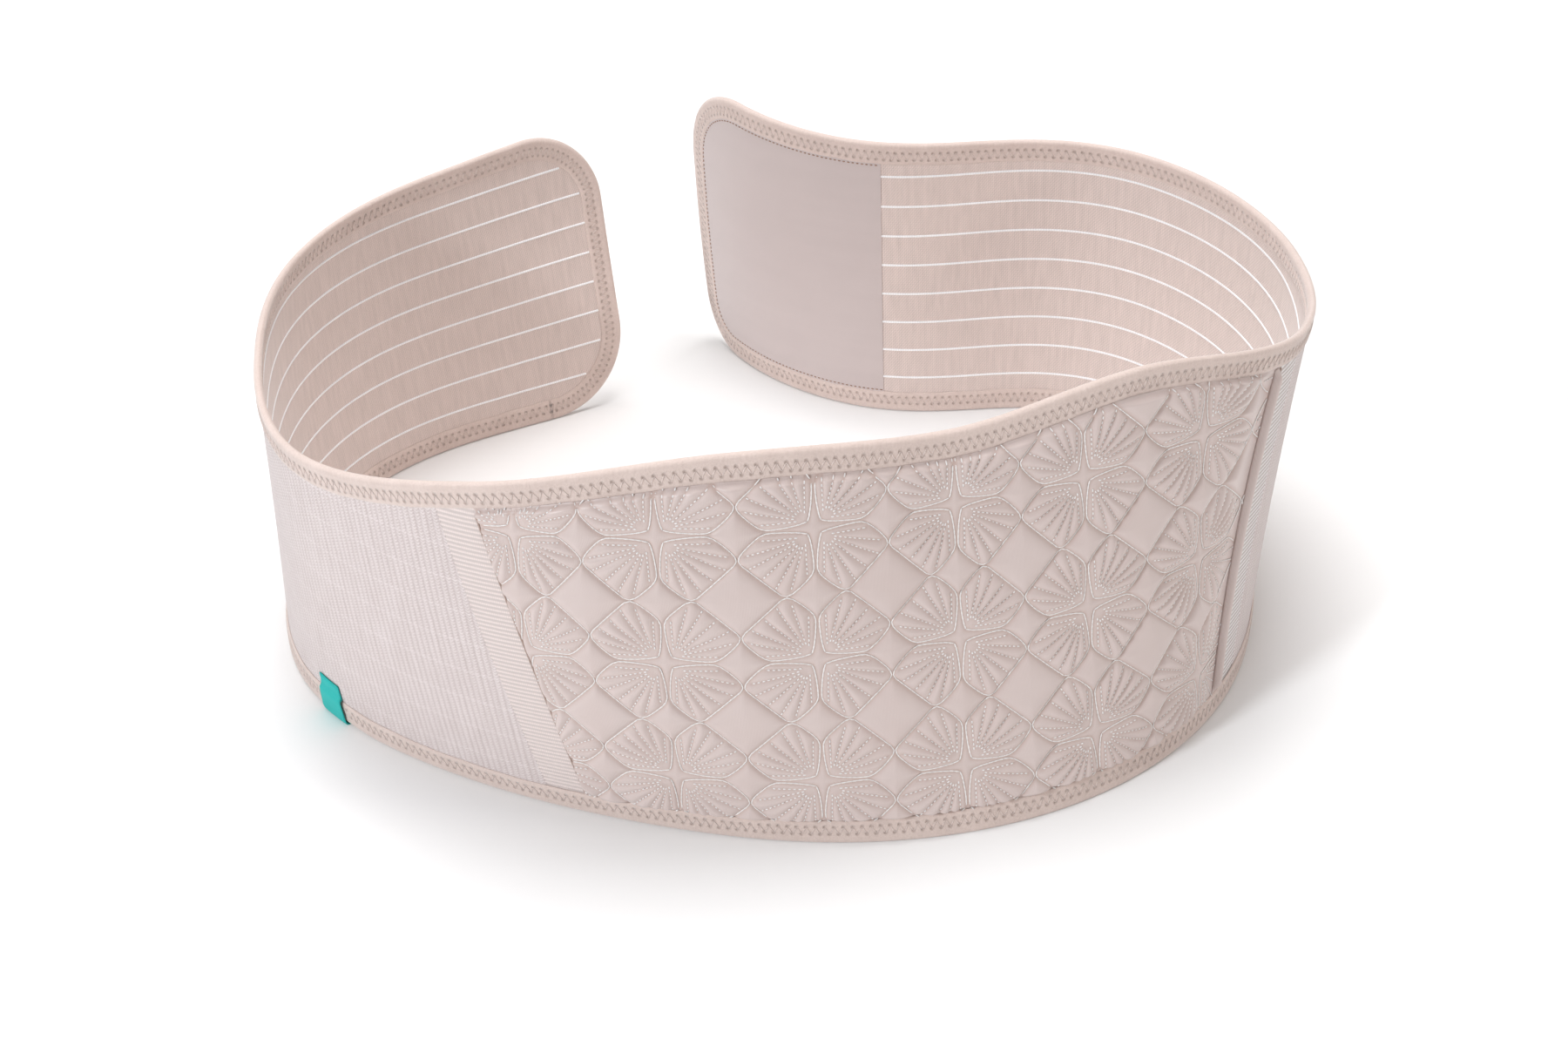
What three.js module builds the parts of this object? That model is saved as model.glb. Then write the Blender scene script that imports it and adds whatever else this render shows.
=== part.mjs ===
// Maternity support belt: a long band of cloth that stands on its lower edge in an open loop.
// Millimetres, +Z up. The quilted front panel faces -Y. The origin is on the floor, under the middle
// of the belt's box. "along" runs over the cloth from the left end to the right end, "up" runs over
// the cloth from its lower edge, and "out" is measured from the middle of the cloth, away from the body.
import * as THREE from 'three';

// Whole belt
const beltLength = 1134;
const beltHeight = 167;
const clothThick = 1.2;
const gap = 0.3;
const facetLength = 10.5;
const turnSteps = 4;

// Stations at even steps from the left end to the right end. heading is the way the cloth runs in
// plan, in degrees; height is the cloth's height as a share of beltHeight; lean is how far its top
// stands out, as a share of the height there; bulge is how far its middle stands out, as a share of
// beltHeight.
const stations = [
  { heading: -157, height: 0.825, lean: 0.15, bulge: 0.012 },
  { heading: -153, height: 0.815, lean: 0.02, bulge: 0.012 },
  { heading: -112.5, height: 0.795, lean: -0.04, bulge: 0.016 },
  { heading: -79, height: 0.795, lean: -0.08, bulge: 0 },
  { heading: -40.5, height: 0.78, lean: 0.015, bulge: 0.006 },
  { heading: -24.5, height: 0.895, lean: 0.06, bulge: 0.016 },
  { heading: -12.5, height: 0.97, lean: -0.05, bulge: 0.01 },
  { heading: 9, height: 0.955, lean: -0.16, bulge: -0.014 },
  { heading: 38, height: 1, lean: -0.1, bulge: -0.012 },
  { heading: 70.5, height: 0.885, lean: 0.06, bulge: -0.008 },
  { heading: 91, height: 0.805, lean: 0.09, bulge: 0.006 },
  { heading: 128.5, height: 0.8, lean: 0.05, bulge: 0.018 },
  { heading: 180, height: 0.805, lean: 0.04, bulge: 0.01 },
  { heading: 145, height: 0.82, lean: 0.005, bulge: -0.006 },
  { heading: 113, height: 0.85, lean: -0.02, bulge: -0.012 },
];

// Rounded corners of the two ends
const cornerRadius = { leftLower: 40, leftUpper: 36, rightLower: 26, rightUpper: 38 };
const cornerSteps = 8;

// Binding: a tape folded over the edge
const tapeWall = 1;
const tapeWidth = 10;
const tapeRound = 0.8;

// Quilted panel, a trapezoid between two slanted seams, with its flowers on a square grid
const panelMiddle = 557;
const panelTopWidth = 318;
const panelFootWidth = 257;
const liningSwell = 0.3;
const padThick = 1.6;
const padShoulder = 4;
const quiltRelief = 1.5;
const quiltPitch = 52;
const flowerOffset = 93.5;
const flowerFoot = 29;

// The quilting's shapes, as shares of quiltPitch: the half diagonals of its big and small diamonds,
// how softly a puff rises from its stitches, half the groove between two petals, and the lines of
// the grid that its face is drawn on, from one flower to the next
const bigDiamond = 0.285;
const smallDiamond = 0.175;
const puff = 0.09;
const petalGroove = 0.015;
const quiltLines = [0, 0.2, 0.35, 0.5, 0.65, 0.8];

// How much the faces of the panel favour edges that lie along its relief
const reliefWeight = 4;

// Ribbed bands over the seams
const bandWidth = 16;
const bandSwell = 0.25;

// Hook patch inside the right end
const patchLength = 115;
const patchThick = 0.8;

// Label folded round the lower edge of the left wing
const labelMiddle = 307;
const labelWidth = 16;
const labelHeight = 19;
const labelBack = 8;
const labelWall = 0.5;
const labelEase = 12;

// Values that follow from the sizes
const clothHalf = clothThick / 2;
const slotHalf = clothHalf + gap;
const tapeHalf = slotHalf + tapeWall;
const clothInset = tapeWall + gap;
const heldEdge = tapeWidth + gap - clothInset;
const labelLift = labelWall + gap;
const facets = Math.round(beltLength / facetLength);
const facetStep = beltLength / facets;

const { lerp, clamp, smoothstep, degToRad } = THREE.MathUtils;

// A column of the station table as a smooth line through its rows, at a share of the belt's length
function stationValue(column, share) {
  const last = stations.length - 1;
  const place = clamp(share, 0, 1) * last;
  const row = Math.min(Math.floor(place), last - 1);
  const f = place - row;
  const [a, b, c, d] = [-1, 0, 1, 2].map((k) => stations[clamp(row + k, 0, last)][column]);
  return b + 0.5 * f * (c - a + f * (2 * a - 5 * b + 4 * c - d + f * (3 * (b - c) + d - a)));
}

// The plan line: corners at even steps, each with the direction that faces away from the body
function makePlan() {
  const plan = [];
  let x = 0;
  let y = 0;
  for (let i = 0; i <= facets; i += 1) {
    const heading = degToRad(stationValue('heading', i / facets));
    plan.push({ x, y, outX: Math.sin(heading), outY: -Math.cos(heading) });
    for (let k = 0; k < turnSteps; k += 1) {
      const turn = degToRad(stationValue('heading', (i + (k + 0.5) / turnSteps) / facets));
      x += (Math.cos(turn) * facetStep) / turnSteps;
      y += (Math.sin(turn) * facetStep) / turnSteps;
    }
  }
  return plan;
}
const plan = makePlan();

function clothHeight(along) {
  return beltHeight * stationValue('height', along / beltLength);
}

// The upper edge, level over the two round corners
function topEdge(along) {
  return clothHeight(clamp(along, cornerRadius.leftUpper, beltLength - cornerRadius.rightUpper));
}

// A point of the belt, from its place on the cloth and its distance from the cloth's middle
function onBelt({ along, up, out }) {
  const place = along / facetStep;
  const corner = clamp(Math.floor(place), 0, facets - 1);
  const f = place - corner;
  const a = plan[corner];
  const b = plan[corner + 1];
  const share = along / beltLength;
  const level = up / clothHeight(along);
  const lean = stationValue('lean', share);
  const bulge = beltHeight * stationValue('bulge', share) * 4 * level * (1 - level);
  const push = lean * up + bulge + out;
  return new THREE.Vector3(
    lerp(a.x, b.x, f) + lerp(a.outX, b.outX, f) * push,
    lerp(a.y, b.y, f) + lerp(a.outY, b.outY, f) * push,
    up * Math.sqrt(1 - lean * lean),
  );
}

// The lower edge rises a little over the label, so that the belt still stands flat
function footRise(along) {
  const beyond = Math.abs(along - labelMiddle) - labelWidth / 2 - gap;
  return labelLift * clamp(1 - beyond / labelEase, 0, 1);
}
const footRiseCorners = [-1, 1].flatMap((side) => [0, labelEase].map(
  (reach) => labelMiddle + side * (labelWidth / 2 + gap + reach),
));

// How much a round corner takes off the cloth's height, at a distance from the cloth's end
function cornerCut(fromEnd, radius, inset) {
  if (fromEnd >= radius) return 0;
  const reach = radius - inset;
  return reach - Math.sqrt(Math.max(reach * reach - (radius - fromEnd) ** 2, 0));
}

function lowerLimit(along, inset) {
  const left = cornerCut(along, cornerRadius.leftLower, inset);
  const right = cornerCut(beltLength - along, cornerRadius.rightLower, inset);
  return footRise(along) + inset + Math.max(left, right);
}

function upperLimit(along, inset) {
  const left = cornerCut(along, cornerRadius.leftUpper, inset);
  const right = cornerCut(beltLength - along, cornerRadius.rightUpper, inset);
  return topEdge(along) - inset - Math.max(left, right);
}

// Half the panel's width at a height of the cloth
function panelHalf(up) {
  return lerp(panelFootWidth, panelTopWidth, up / beltHeight) / 2;
}
const leftSeam = (shift) => (up) => panelMiddle - panelHalf(up) + shift;
const rightSeam = (shift) => (up) => panelMiddle + panelHalf(up) + shift;

// Makes the mesh of a closed solid from its points and its triangles
function makeMesh(name, points, triangles, look) {
  const geometry = new THREE.BufferGeometry();
  geometry.setAttribute('position', new THREE.Float32BufferAttribute(points.flatMap((p) => p.toArray()), 3));
  geometry.setIndex(triangles.flat());
  geometry.computeVertexNormals();
  const mesh = new THREE.Mesh(geometry, new THREE.MeshStandardMaterial(look));
  mesh.name = name;
  return mesh;
}

// Triangles between two rows of points, the first on the left of the way they run. The cross edge
// of the lower cost is taken each time.
function zip(left, right, cost) {
  const triangles = [];
  let i = 0;
  let j = 0;
  while (i < left.length - 1 || j < right.length - 1) {
    const onLeft = i < left.length - 1 ? cost(left[i + 1], right[j]) : Infinity;
    const onRight = j < right.length - 1 ? cost(left[i], right[j + 1]) : Infinity;
    if (onLeft < onRight) {
      triangles.push([left[i], right[j], left[i + 1]]);
      i += 1;
    } else {
      triangles.push([left[i], right[j], right[j + 1]]);
      j += 1;
    }
  }
  return triangles;
}

// A sheet of cloth as a closed solid: its outer face and its inner face are lists of columns, from
// left to right, and each column is a list of places from the bottom to the top. Short cross edges
// are taken first, and where the outer face has relief, the ones that lie in it best.
function makeSheet(name, outerColumns, innerColumns, look, relief = () => 0) {
  const places = [];
  const number = (column) => column.map((place) => places.push(place) - 1);
  const outer = outerColumns.map(number);
  const inner = innerColumns.map(number);
  const points = places.map(onBelt);
  const length = (a, b) => points[a].distanceTo(points[b]);
  const misfit = (a, b) => {
    const [p, q] = [places[a], places[b]];
    const halfway = relief((p.along + q.along) / 2, (p.up + q.up) / 2);
    return length(a, b) + reliefWeight * Math.abs(2 * halfway - relief(p.along, p.up) - relief(q.along, q.up));
  };
  const triangles = [];
  for (let i = 1; i < outer.length; i += 1) triangles.push(...zip(outer[i - 1], outer[i], misfit));
  for (let i = 1; i < inner.length; i += 1) triangles.push(...zip(inner[i], inner[i - 1], length));
  const foot = (face) => face.map((column) => column[0]);
  const top = (face) => face.map((column) => column.at(-1));
  triangles.push(...zip(foot(outer), foot(inner), length));
  triangles.push(...zip(top(inner), top(outer), length));
  triangles.push(...zip(inner[0], outer[0], length));
  triangles.push(...zip(outer.at(-1), inner.at(-1), length));
  return makeMesh(name, points, triangles, look);
}

// The places of a sheet's columns between two side lines: the side lines themselves, the given
// places that both sides leave room for, and slanted columns between those and a slanted side.
function columnLines(leftLine, rightLine, places) {
  const slantSteps = 3;
  const margin = 2;
  const ends = [0, beltHeight];
  const from = Math.max(...ends.map(leftLine)) + margin;
  const to = Math.min(...ends.map(rightLine)) - margin;
  const middle = places.filter((place) => place > from && place < to);
  const blend = (a, b) => {
    const steps = Math.abs(a(0) - a(beltHeight) - b(0) + b(beltHeight)) > facetLength ? slantSteps : 1;
    return Array.from({ length: steps - 1 }, (_, k) => (up) => lerp(a(up), b(up), (k + 1) / steps));
  };
  if (middle.length === 0) return [leftLine, ...blend(leftLine, rightLine), rightLine];
  const first = () => middle[0];
  const last = () => middle.at(-1);
  const straight = middle.map((place) => () => place);
  return [leftLine, ...blend(leftLine, first), ...straight, ...blend(last, rightLine), rightLine];
}

// Where a column line meets the cloth's lower and upper limits
function columnReach(line, inset) {
  let lower = 0;
  let upper = beltHeight;
  for (let k = 0; k < 4; k += 1) {
    lower = lowerLimit(line(lower), inset);
    upper = upperLimit(line(upper), inset);
  }
  return { lower, upper };
}

// One column of points between the cloth's limits: a held stretch at each edge, in the binding, and
// even levels between them
function evenColumn(line, inset, held, rows, outAt) {
  const { lower, upper } = columnReach(line, inset);
  const free = Array.from({ length: rows + 1 }, (_, k) => lerp(lower + held, upper - held, k / rows));
  const levels = held > 0 ? [lower, ...free, upper] : free;
  return levels.map((up) => ({ along: line(up), up, out: outAt(line(up), up) }));
}

// Places along the belt where the plan line turns
const facetPlaces = Array.from({ length: facets + 1 }, (_, i) => i * facetStep);
const edgePlaces = [...facetPlaces, ...footRiseCorners].sort((a, b) => a - b);

// Places that round off an end, given as distances from it
function roundPlaces(radius, inset) {
  return Array.from({ length: cornerSteps }, (_, k) => (
    inset + (radius - inset) * (1 - Math.cos((Math.PI / 2) * ((k + 1) / cornerSteps)))
  ));
}

const wingRows = 3;
const bandRows = 10;
const wingLook = { color: 0xeadfdd, roughness: 0.95, metalness: 0 };

function makeLeftWing() {
  const round = roundPlaces(Math.max(cornerRadius.leftLower, cornerRadius.leftUpper), clothInset);
  const straight = edgePlaces.filter((place) => place > round.at(-1) + gap);
  const lines = columnLines(() => clothInset, leftSeam(-bandWidth - gap), [...round, ...straight]);
  const face = (out) => lines.map((line) => evenColumn(line, clothInset, heldEdge, wingRows, () => out));
  return makeSheet('left_wing', face(clothHalf), face(-clothHalf), wingLook);
}

function makeRightWing() {
  const radius = Math.max(cornerRadius.rightLower, cornerRadius.rightUpper);
  const round = roundPlaces(radius, clothInset).map((fromEnd) => beltLength - fromEnd).reverse();
  const straight = edgePlaces.filter((place) => place < round[0] - gap);
  const farEnd = () => beltLength - clothInset;
  const lines = columnLines(rightSeam(bandWidth + gap), farEnd, [...straight, ...round]);
  const face = (out) => lines.map((line) => evenColumn(line, clothInset, heldEdge, wingRows, () => out));
  return makeSheet('right_wing', face(clothHalf), face(-clothHalf), wingLook);
}

// A ribbed band, a little thicker than the wing where the binding doesn't hold it
function makeRibBand(name, nearLine, farLine) {
  const middle = (up) => (nearLine(up) + farLine(up)) / 2;
  const lines = [nearLine, middle, farLine];
  const swell = (along, up) => {
    const fromEdge = Math.min(up - footRise(along), clothHeight(along) - up);
    return clothHalf + bandSwell * smoothstep(fromEdge, tapeWidth + gap, tapeWidth + gap + padShoulder);
  };
  const outer = lines.map((line) => evenColumn(line, clothInset, heldEdge, bandRows, swell));
  const inner = lines.map((line) => evenColumn(line, clothInset, heldEdge, bandRows, () => -clothHalf));
  return makeSheet(name, outer, inner, { color: 0xe6d3c9, roughness: 0.85, metalness: 0 });
}

// The quilting's height, from 0 in a stitched valley to 1 on top of a puff, at a place counted in
// flowers. Big diamonds lie between four flowers, small ones between two, and the rest is petals.
function quiltHeight(across, above) {
  const x = Math.abs(across - Math.round(across));
  const y = Math.abs(above - Math.round(above));
  const inBig = bigDiamond - (0.5 - x) - (0.5 - y);
  const inSmall = smallDiamond - Math.min(0.5 - x + y, 0.5 - y + x);
  const toDiamonds = Math.max(inBig, inSmall, Math.min(-inBig, -inSmall)) / Math.SQRT2;
  const toGroove = inBig > 0 || inSmall > 0 ? Infinity : Math.max(Math.min(x, y) - petalGroove, 0);
  return 1 - Math.exp(-Math.min(toDiamonds, toGroove) / puff);
}

function panelOut(along, up) {
  const fromEdge = Math.min(up - footRise(along), clothHeight(along) - up) - tapeWidth - gap;
  const fromSeam = panelHalf(up) - Math.abs(along - panelMiddle);
  const across = (along - panelMiddle + flowerOffset) / quiltPitch;
  const swell = padThick + quiltRelief * quiltHeight(across, (up - flowerFoot) / quiltPitch);
  return clothHalf + swell * smoothstep(Math.min(fromEdge, fromSeam), 0, padShoulder);
}

// The quilting's grid lines that lie between two places, counted from one flower's middle
function quiltPlaces(flower, from, to) {
  const first = Math.floor((from - flower) / quiltPitch);
  const count = Math.ceil((to - from) / quiltPitch) + 2;
  return Array.from({ length: count }, (_, k) => quiltLines.map((line) => flower + (first + k + line) * quiltPitch))
    .flat().filter((place) => place > from && place < to);
}

// A column of the quilted face: the squeezed edges, then points on the quilting's own grid
function quiltColumn(line) {
  const { lower, upper } = columnReach(line, clothInset);
  const free = tapeWidth + gap;
  const low = footRise(line(0)) + free;
  const high = clothHeight(line(upper)) - free;
  const shoulder = padShoulder / 2;
  const quilted = quiltPlaces(flowerFoot, low + padShoulder, high - padShoulder);
  const levels = [lower, low, low + shoulder, ...quilted, high - shoulder, high, upper];
  return levels.map((up) => ({ along: line(up), up, out: panelOut(line(up), up) }));
}

function makeQuiltedPanel() {
  const places = quiltPlaces(panelMiddle - flowerOffset, 0, beltLength);
  const outer = columnLines(leftSeam(0), rightSeam(0), places).map(quiltColumn);
  const lining = (along, up) => {
    const fromEdge = Math.min(up - footRise(along), clothHeight(along) - up) - tapeWidth - gap;
    return -clothHalf - liningSwell * smoothstep(fromEdge, 0, padShoulder);
  };
  const inner = columnLines(leftSeam(0), rightSeam(0), facetPlaces)
    .map((line) => evenColumn(line, clothInset, heldEdge, wingRows, lining));
  const look = { color: 0xe9d8d2, roughness: 0.7, metalness: 0 };
  return makeSheet('quilted_panel', outer, inner, look, panelOut);
}

function makeHookPatch() {
  const inset = tapeWidth + gap;
  const radius = Math.max(cornerRadius.rightLower, cornerRadius.rightUpper);
  const round = roundPlaces(radius, inset).map((fromEnd) => beltLength - fromEnd).reverse();
  const start = beltLength - patchLength;
  const straight = facetPlaces.filter((place) => place < round[0] - gap);
  const lines = columnLines(() => start, () => beltLength - inset, [...straight, ...round]);
  const near = -clothHalf - gap;
  const outer = lines.map((line) => evenColumn(line, inset, 0, wingRows, () => near));
  const inner = lines.map((line) => evenColumn(line, inset, 0, wingRows, () => near - patchThick));
  return makeSheet('hook_patch', outer, inner, { color: 0xe3d2c9, roughness: 0.6, metalness: 0 });
}

// A folded strip round the cloth's edge, as a closed solid: a section of [depth, out] points, which
// run anticlockwise, is carried along a path of edge points, each with its inward direction.
function makeFold(name, path, section, look) {
  const points = [];
  const rings = path.map(({ along, up, inAlong, inUp }) => section.map(([depth, out]) => (
    points.push(onBelt({ along: along + inAlong * depth, up: up + inUp * depth, out })) - 1
  )));
  const triangles = [];
  const side = (k) => (k + 1) % section.length;
  for (let i = 1; i < rings.length; i += 1) {
    for (let k = 0; k < section.length; k += 1) {
      const [a, b] = [rings[i - 1][k], rings[i - 1][side(k)]];
      const [c, d] = [rings[i][k], rings[i][side(k)]];
      triangles.push([a, b, d], [a, d, c]);
    }
  }
  const outline = section.map(([depth, out]) => new THREE.Vector2(depth, out));
  for (const [p, q, r] of THREE.ShapeUtils.triangulateShape(outline, [])) {
    const [first, last] = [rings[0], rings.at(-1)];
    triangles.push([first[p], first[r], first[q]], [last[p], last[q], last[r]]);
  }
  return makeMesh(name, points, triangles, look);
}

// The tape's section round the edge: two legs and a rounded fold with a narrow flat at its crest
const tapeSection = [
  [tapeWidth, tapeHalf], [tapeRound, tapeHalf], [0, tapeHalf - tapeRound], [0, tapeRound - tapeHalf],
  [tapeRound, -tapeHalf], [tapeWidth, -tapeHalf], [tapeWidth, -slotHalf], [tapeWall, -slotHalf],
  [tapeWall, slotHalf], [tapeWidth, slotHalf],
];
const tapeLook = { color: 0xd8c0b4, roughness: 0.95, metalness: 0 };

// Edge points at the given places, with the inward direction square to the edge, and upright at
// both ends, where other tapes meet it
function edgePath(places, heightAt, inward) {
  const probe = 1;
  return places.map((along, k) => {
    const rise = heightAt(along + probe) - heightAt(along - probe);
    const slope = k === 0 || k === places.length - 1 ? 0 : rise / (2 * probe);
    const length = Math.hypot(slope, 1);
    return { along, up: heightAt(along), inAlong: (-inward * slope) / length, inUp: inward / length };
  });
}

// One half of an edge's straight stretch, between a round corner and the panel's middle
function makeEdgeTape(name, from, to, heightAt, inward) {
  const inside = edgePlaces.filter((place) => place > from + 1 && place < to - 1);
  const path = edgePath([from + gap / 2, ...inside, to - gap / 2], heightAt, inward);
  return makeFold(name, inward > 0 ? path : path.reverse(), tapeSection, tapeLook);
}

// The tape round one end: the upper corner, the straight end and the lower corner. side is -1 at
// the left end and 1 at the right one.
function makeEndTape(name, side, upperRadius, lowerRadius) {
  const end = side < 0 ? 0 : beltLength;
  const centreUp = topEdge(end) - upperRadius;
  const arc = (radius, centre, fromAngle, toAngle) => Array.from({ length: cornerSteps + 1 }, (_, k) => {
    const angle = degToRad(lerp(fromAngle, toAngle, k / cornerSteps));
    const [cos, sin] = [Math.cos(angle), Math.sin(angle)];
    return {
      along: end - side * (radius - radius * cos), up: centre + radius * sin, inAlong: -side * cos, inUp: -sin,
    };
  });
  const cut = (radius) => THREE.MathUtils.radToDeg(gap / 2 / radius);
  const upper = arc(upperRadius, centreUp, 90 - cut(upperRadius), 0);
  const lower = arc(lowerRadius, lowerRadius, 0, cut(lowerRadius) - 90);
  const straightSteps = 4;
  const straight = Array.from({ length: straightSteps - 1 }, (_, k) => ({
    along: end, up: lerp(centreUp, lowerRadius, (k + 1) / straightSteps), inAlong: -side, inUp: 0,
  }));
  const path = [...upper, ...straight, ...lower];
  return makeFold(name, side < 0 ? path : path.reverse(), tapeSection, tapeLook);
}

// The label: one thin strip folded under the lower edge, its front leg reaching onto the wing
function makeLabel() {
  const from = labelMiddle - labelWidth / 2;
  const places = [from, labelMiddle, from + labelWidth];
  const clear = tapeHalf + gap;
  const wall = labelWall;
  const knee = tapeWidth + gap;
  const lap = clothHalf + gap;
  const section = [
    [labelHeight, lap], [labelHeight, lap + wall], [knee + wall, clear + wall], [-labelLift, clear + wall],
    [-labelLift, -clear - wall], [labelBack, -clear - wall], [labelBack, -clear], [-gap, -clear],
    [-gap, clear], [knee, clear], [knee + wall + gap, lap],
  ];
  const path = edgePath(places, footRise, 1);
  return makeFold('label_tab', path, section, { color: 0x2fbdb3, roughness: 0.6, metalness: 0 });
}

const belt = new THREE.Group();
belt.add(
  makeQuiltedPanel(),
  makeLeftWing(),
  makeRightWing(),
  makeRibBand('left_rib_band', leftSeam(-bandWidth), leftSeam(-gap)),
  makeRibBand('right_rib_band', rightSeam(gap), rightSeam(bandWidth)),
  makeEdgeTape('top_binding_left', cornerRadius.leftUpper, panelMiddle, topEdge, -1),
  makeEdgeTape('top_binding_right', panelMiddle, beltLength - cornerRadius.rightUpper, topEdge, -1),
  makeEdgeTape('bottom_binding_left', cornerRadius.leftLower, panelMiddle, footRise, 1),
  makeEdgeTape('bottom_binding_right', panelMiddle, beltLength - cornerRadius.rightLower, footRise, 1),
  makeEndTape('left_end_binding', -1, cornerRadius.leftUpper, cornerRadius.leftLower),
  makeEndTape('right_end_binding', 1, cornerRadius.rightUpper, cornerRadius.rightLower),
  makeHookPatch(),
  makeLabel(),
);

// The belt's box is centred over the origin
const middle = new THREE.Box3().setFromObject(belt).getCenter(new THREE.Vector3());
belt.position.set(-middle.x, -middle.y, 0);

export default belt;
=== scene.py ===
"""Maternity support belt: its quilted panel, elastic wings, bands, binding, hook patch and label in
finished cloth, with their stitching, on a plain studio stage. Every length is in metres. "along"
runs over the cloth from the left end to the right end, "up" runs over the cloth from its lower
edge, and "out" is measured from the middle of the cloth, away from the body."""
import math

import bpy
import numpy as np
from bpy.props import FloatProperty, FloatVectorProperty, PointerProperty
from mathutils import Matrix, Vector


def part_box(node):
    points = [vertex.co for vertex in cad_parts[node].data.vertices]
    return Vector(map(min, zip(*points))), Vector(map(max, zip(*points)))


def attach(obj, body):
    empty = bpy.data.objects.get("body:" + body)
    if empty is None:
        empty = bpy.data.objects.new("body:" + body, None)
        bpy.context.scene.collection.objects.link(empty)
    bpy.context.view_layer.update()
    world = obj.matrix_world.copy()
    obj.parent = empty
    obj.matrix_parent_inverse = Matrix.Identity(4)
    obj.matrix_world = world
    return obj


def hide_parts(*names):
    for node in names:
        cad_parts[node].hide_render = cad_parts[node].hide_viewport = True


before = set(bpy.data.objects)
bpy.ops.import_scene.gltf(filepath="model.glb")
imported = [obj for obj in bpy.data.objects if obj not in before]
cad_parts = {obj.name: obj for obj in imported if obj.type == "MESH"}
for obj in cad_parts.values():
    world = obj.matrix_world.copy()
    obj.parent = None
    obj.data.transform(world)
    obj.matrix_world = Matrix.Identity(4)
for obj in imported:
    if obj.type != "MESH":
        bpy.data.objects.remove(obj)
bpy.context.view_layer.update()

bl_info = {
    "name": "Maternity Support Belt",
    "version": (1, 0, 0),
    "blender": (4, 5, 0),
    "location": "View3D > Sidebar > Support Belt",
    "description": "Builds a quilted maternity support belt with its stitching and a studio stage",
    "category": "Object",
}

BODY = "root"
MM = 0.001

# Whole belt: its sizes, half its cloth's thickness, the room between solids, the plan line's steps,
# the rounds in which places settle, and the hair's breadth by which finished faces stand clear
BELT_LENGTH = 1134 * MM
BELT_HEIGHT = 167 * MM
CLOTH_HALF = 0.6 * MM
GAP = 0.3 * MM
PLAN_STEPS = 432
STEPS_PER_FACET = 4
ROUNDS = 8
HAIR = 0.02 * MM

# Stations at even steps from the left end to the right end: the way the cloth runs in plan, in
# degrees; its height as a share of the belt's; how far its top stands out, as a share of the height
# there; and how far its middle stands out, as a share of the belt's height.
STATIONS = np.array([
    (-157, 0.825, 0.15, 0.012),
    (-153, 0.815, 0.02, 0.012),
    (-112.5, 0.795, -0.04, 0.016),
    (-79, 0.795, -0.08, 0),
    (-40.5, 0.78, 0.015, 0.006),
    (-24.5, 0.895, 0.06, 0.016),
    (-12.5, 0.97, -0.05, 0.01),
    (9, 0.955, -0.16, -0.014),
    (38, 1, -0.1, -0.012),
    (70.5, 0.885, 0.06, -0.008),
    (91, 0.805, 0.09, 0.006),
    (128.5, 0.8, 0.05, 0.018),
    (180, 0.805, 0.04, 0.01),
    (145, 0.82, 0.005, -0.006),
    (113, 0.85, -0.02, -0.012),
])
HEADING, HEIGHT, LEAN, BULGE = range(4)

# Rounded corners of the two ends
LEFT_LOWER, LEFT_UPPER, RIGHT_LOWER, RIGHT_UPPER = 40 * MM, 36 * MM, 26 * MM, 38 * MM

# Binding: its two legs, half its soft fold's thickness, and the two rows of its zigzag's needle holes
TAPE_WALL = 1 * MM
TAPE_WIDTH = 10 * MM
TAPE_HALF = CLOTH_HALF + GAP + TAPE_WALL
CLOTH_INSET = TAPE_WALL + GAP
SOFT_HALF = 1.55 * MM
ZIGZAG_NEAR = 4.3 * MM
ZIGZAG_FAR = 7.5 * MM
ZIGZAG_OUT = 1.4 * MM
ZIGZAG_THREAD = 0.45 * MM
EDGE_STEP = 1.5 * MM
EDGE_WAVES = ((0.1 * MM, 61, 0), (0.08 * MM, 143, 1))

# Quilted panel, and its flowers on a square grid
PANEL_MIDDLE = 557 * MM
PANEL_TOP = 318 * MM
PANEL_FOOT = 257 * MM
LINING_SWELL = 0.3 * MM
PAD_THICK = 1.3 * MM
PAD_SHOULDER = 1.4 * MM
SHOULDER_BESIDE_ROLL = 16 * MM
QUILT_PITCH = 52 * MM
FLOWER_FIRST = PANEL_MIDDLE - 93.5 * MM
FLOWER_FOOT = 29 * MM
FLOWER_COLUMNS = range(-1, 6)
FLOWER_ROWS = range(-1, 4)
QUILT_PULL = 7.5 * MM
PULL_START, PULL_END = 105 * MM, 145 * MM

# The quilting's relief: the reach of a puff's steep side, of its broad dome and of a valley, as
# shares of the flowers' spacing; the dome's share of the height, how deep a valley is and how high a
# channel; the widths of the painted shade in the stitched valleys along the outlines and the rays;
# how far a thread's middle stands out, as a share of its width; and how many fine steps of the face
# lie beside one of the lining
PUFF_SIDE, PUFF_DOME, VALLEY = 0.036, 0.14, 0.024
DOME_SHARE, VALLEY_DEPTH, CHANNEL_HEIGHT = 0.1, 0.7, 0.4
OUTLINE_SHADE_WIDTH, RAY_SHADE_WIDTH = 0.8 * MM, 0.55 * MM
THREAD_LIFT = 0.36
GRID_RATIO = 8

# How much of its spacing a stitch fills: an outline's overlap, and dashes leave gaps
OUTLINE_FILL, DASH_FILL, SEAM_FILL = 1.25, 0.62, 1.55

# Rolled edge along the right seam, and the thread beside both seams, whose dark brown is partly the thread's
# own colour and partly painted shade in the seam
ROLL_WIDTH = 3.2 * MM
ROLL_HEIGHT = 2.8 * MM
SEAM_STITCH = 2.4 * MM
SEAM_THREAD = 1 * MM
SEAM_LIFT = 0.45 * MM
SEAM_BROWN_AND_SHADE = (0.44, 0.325, 0.28)

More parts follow.
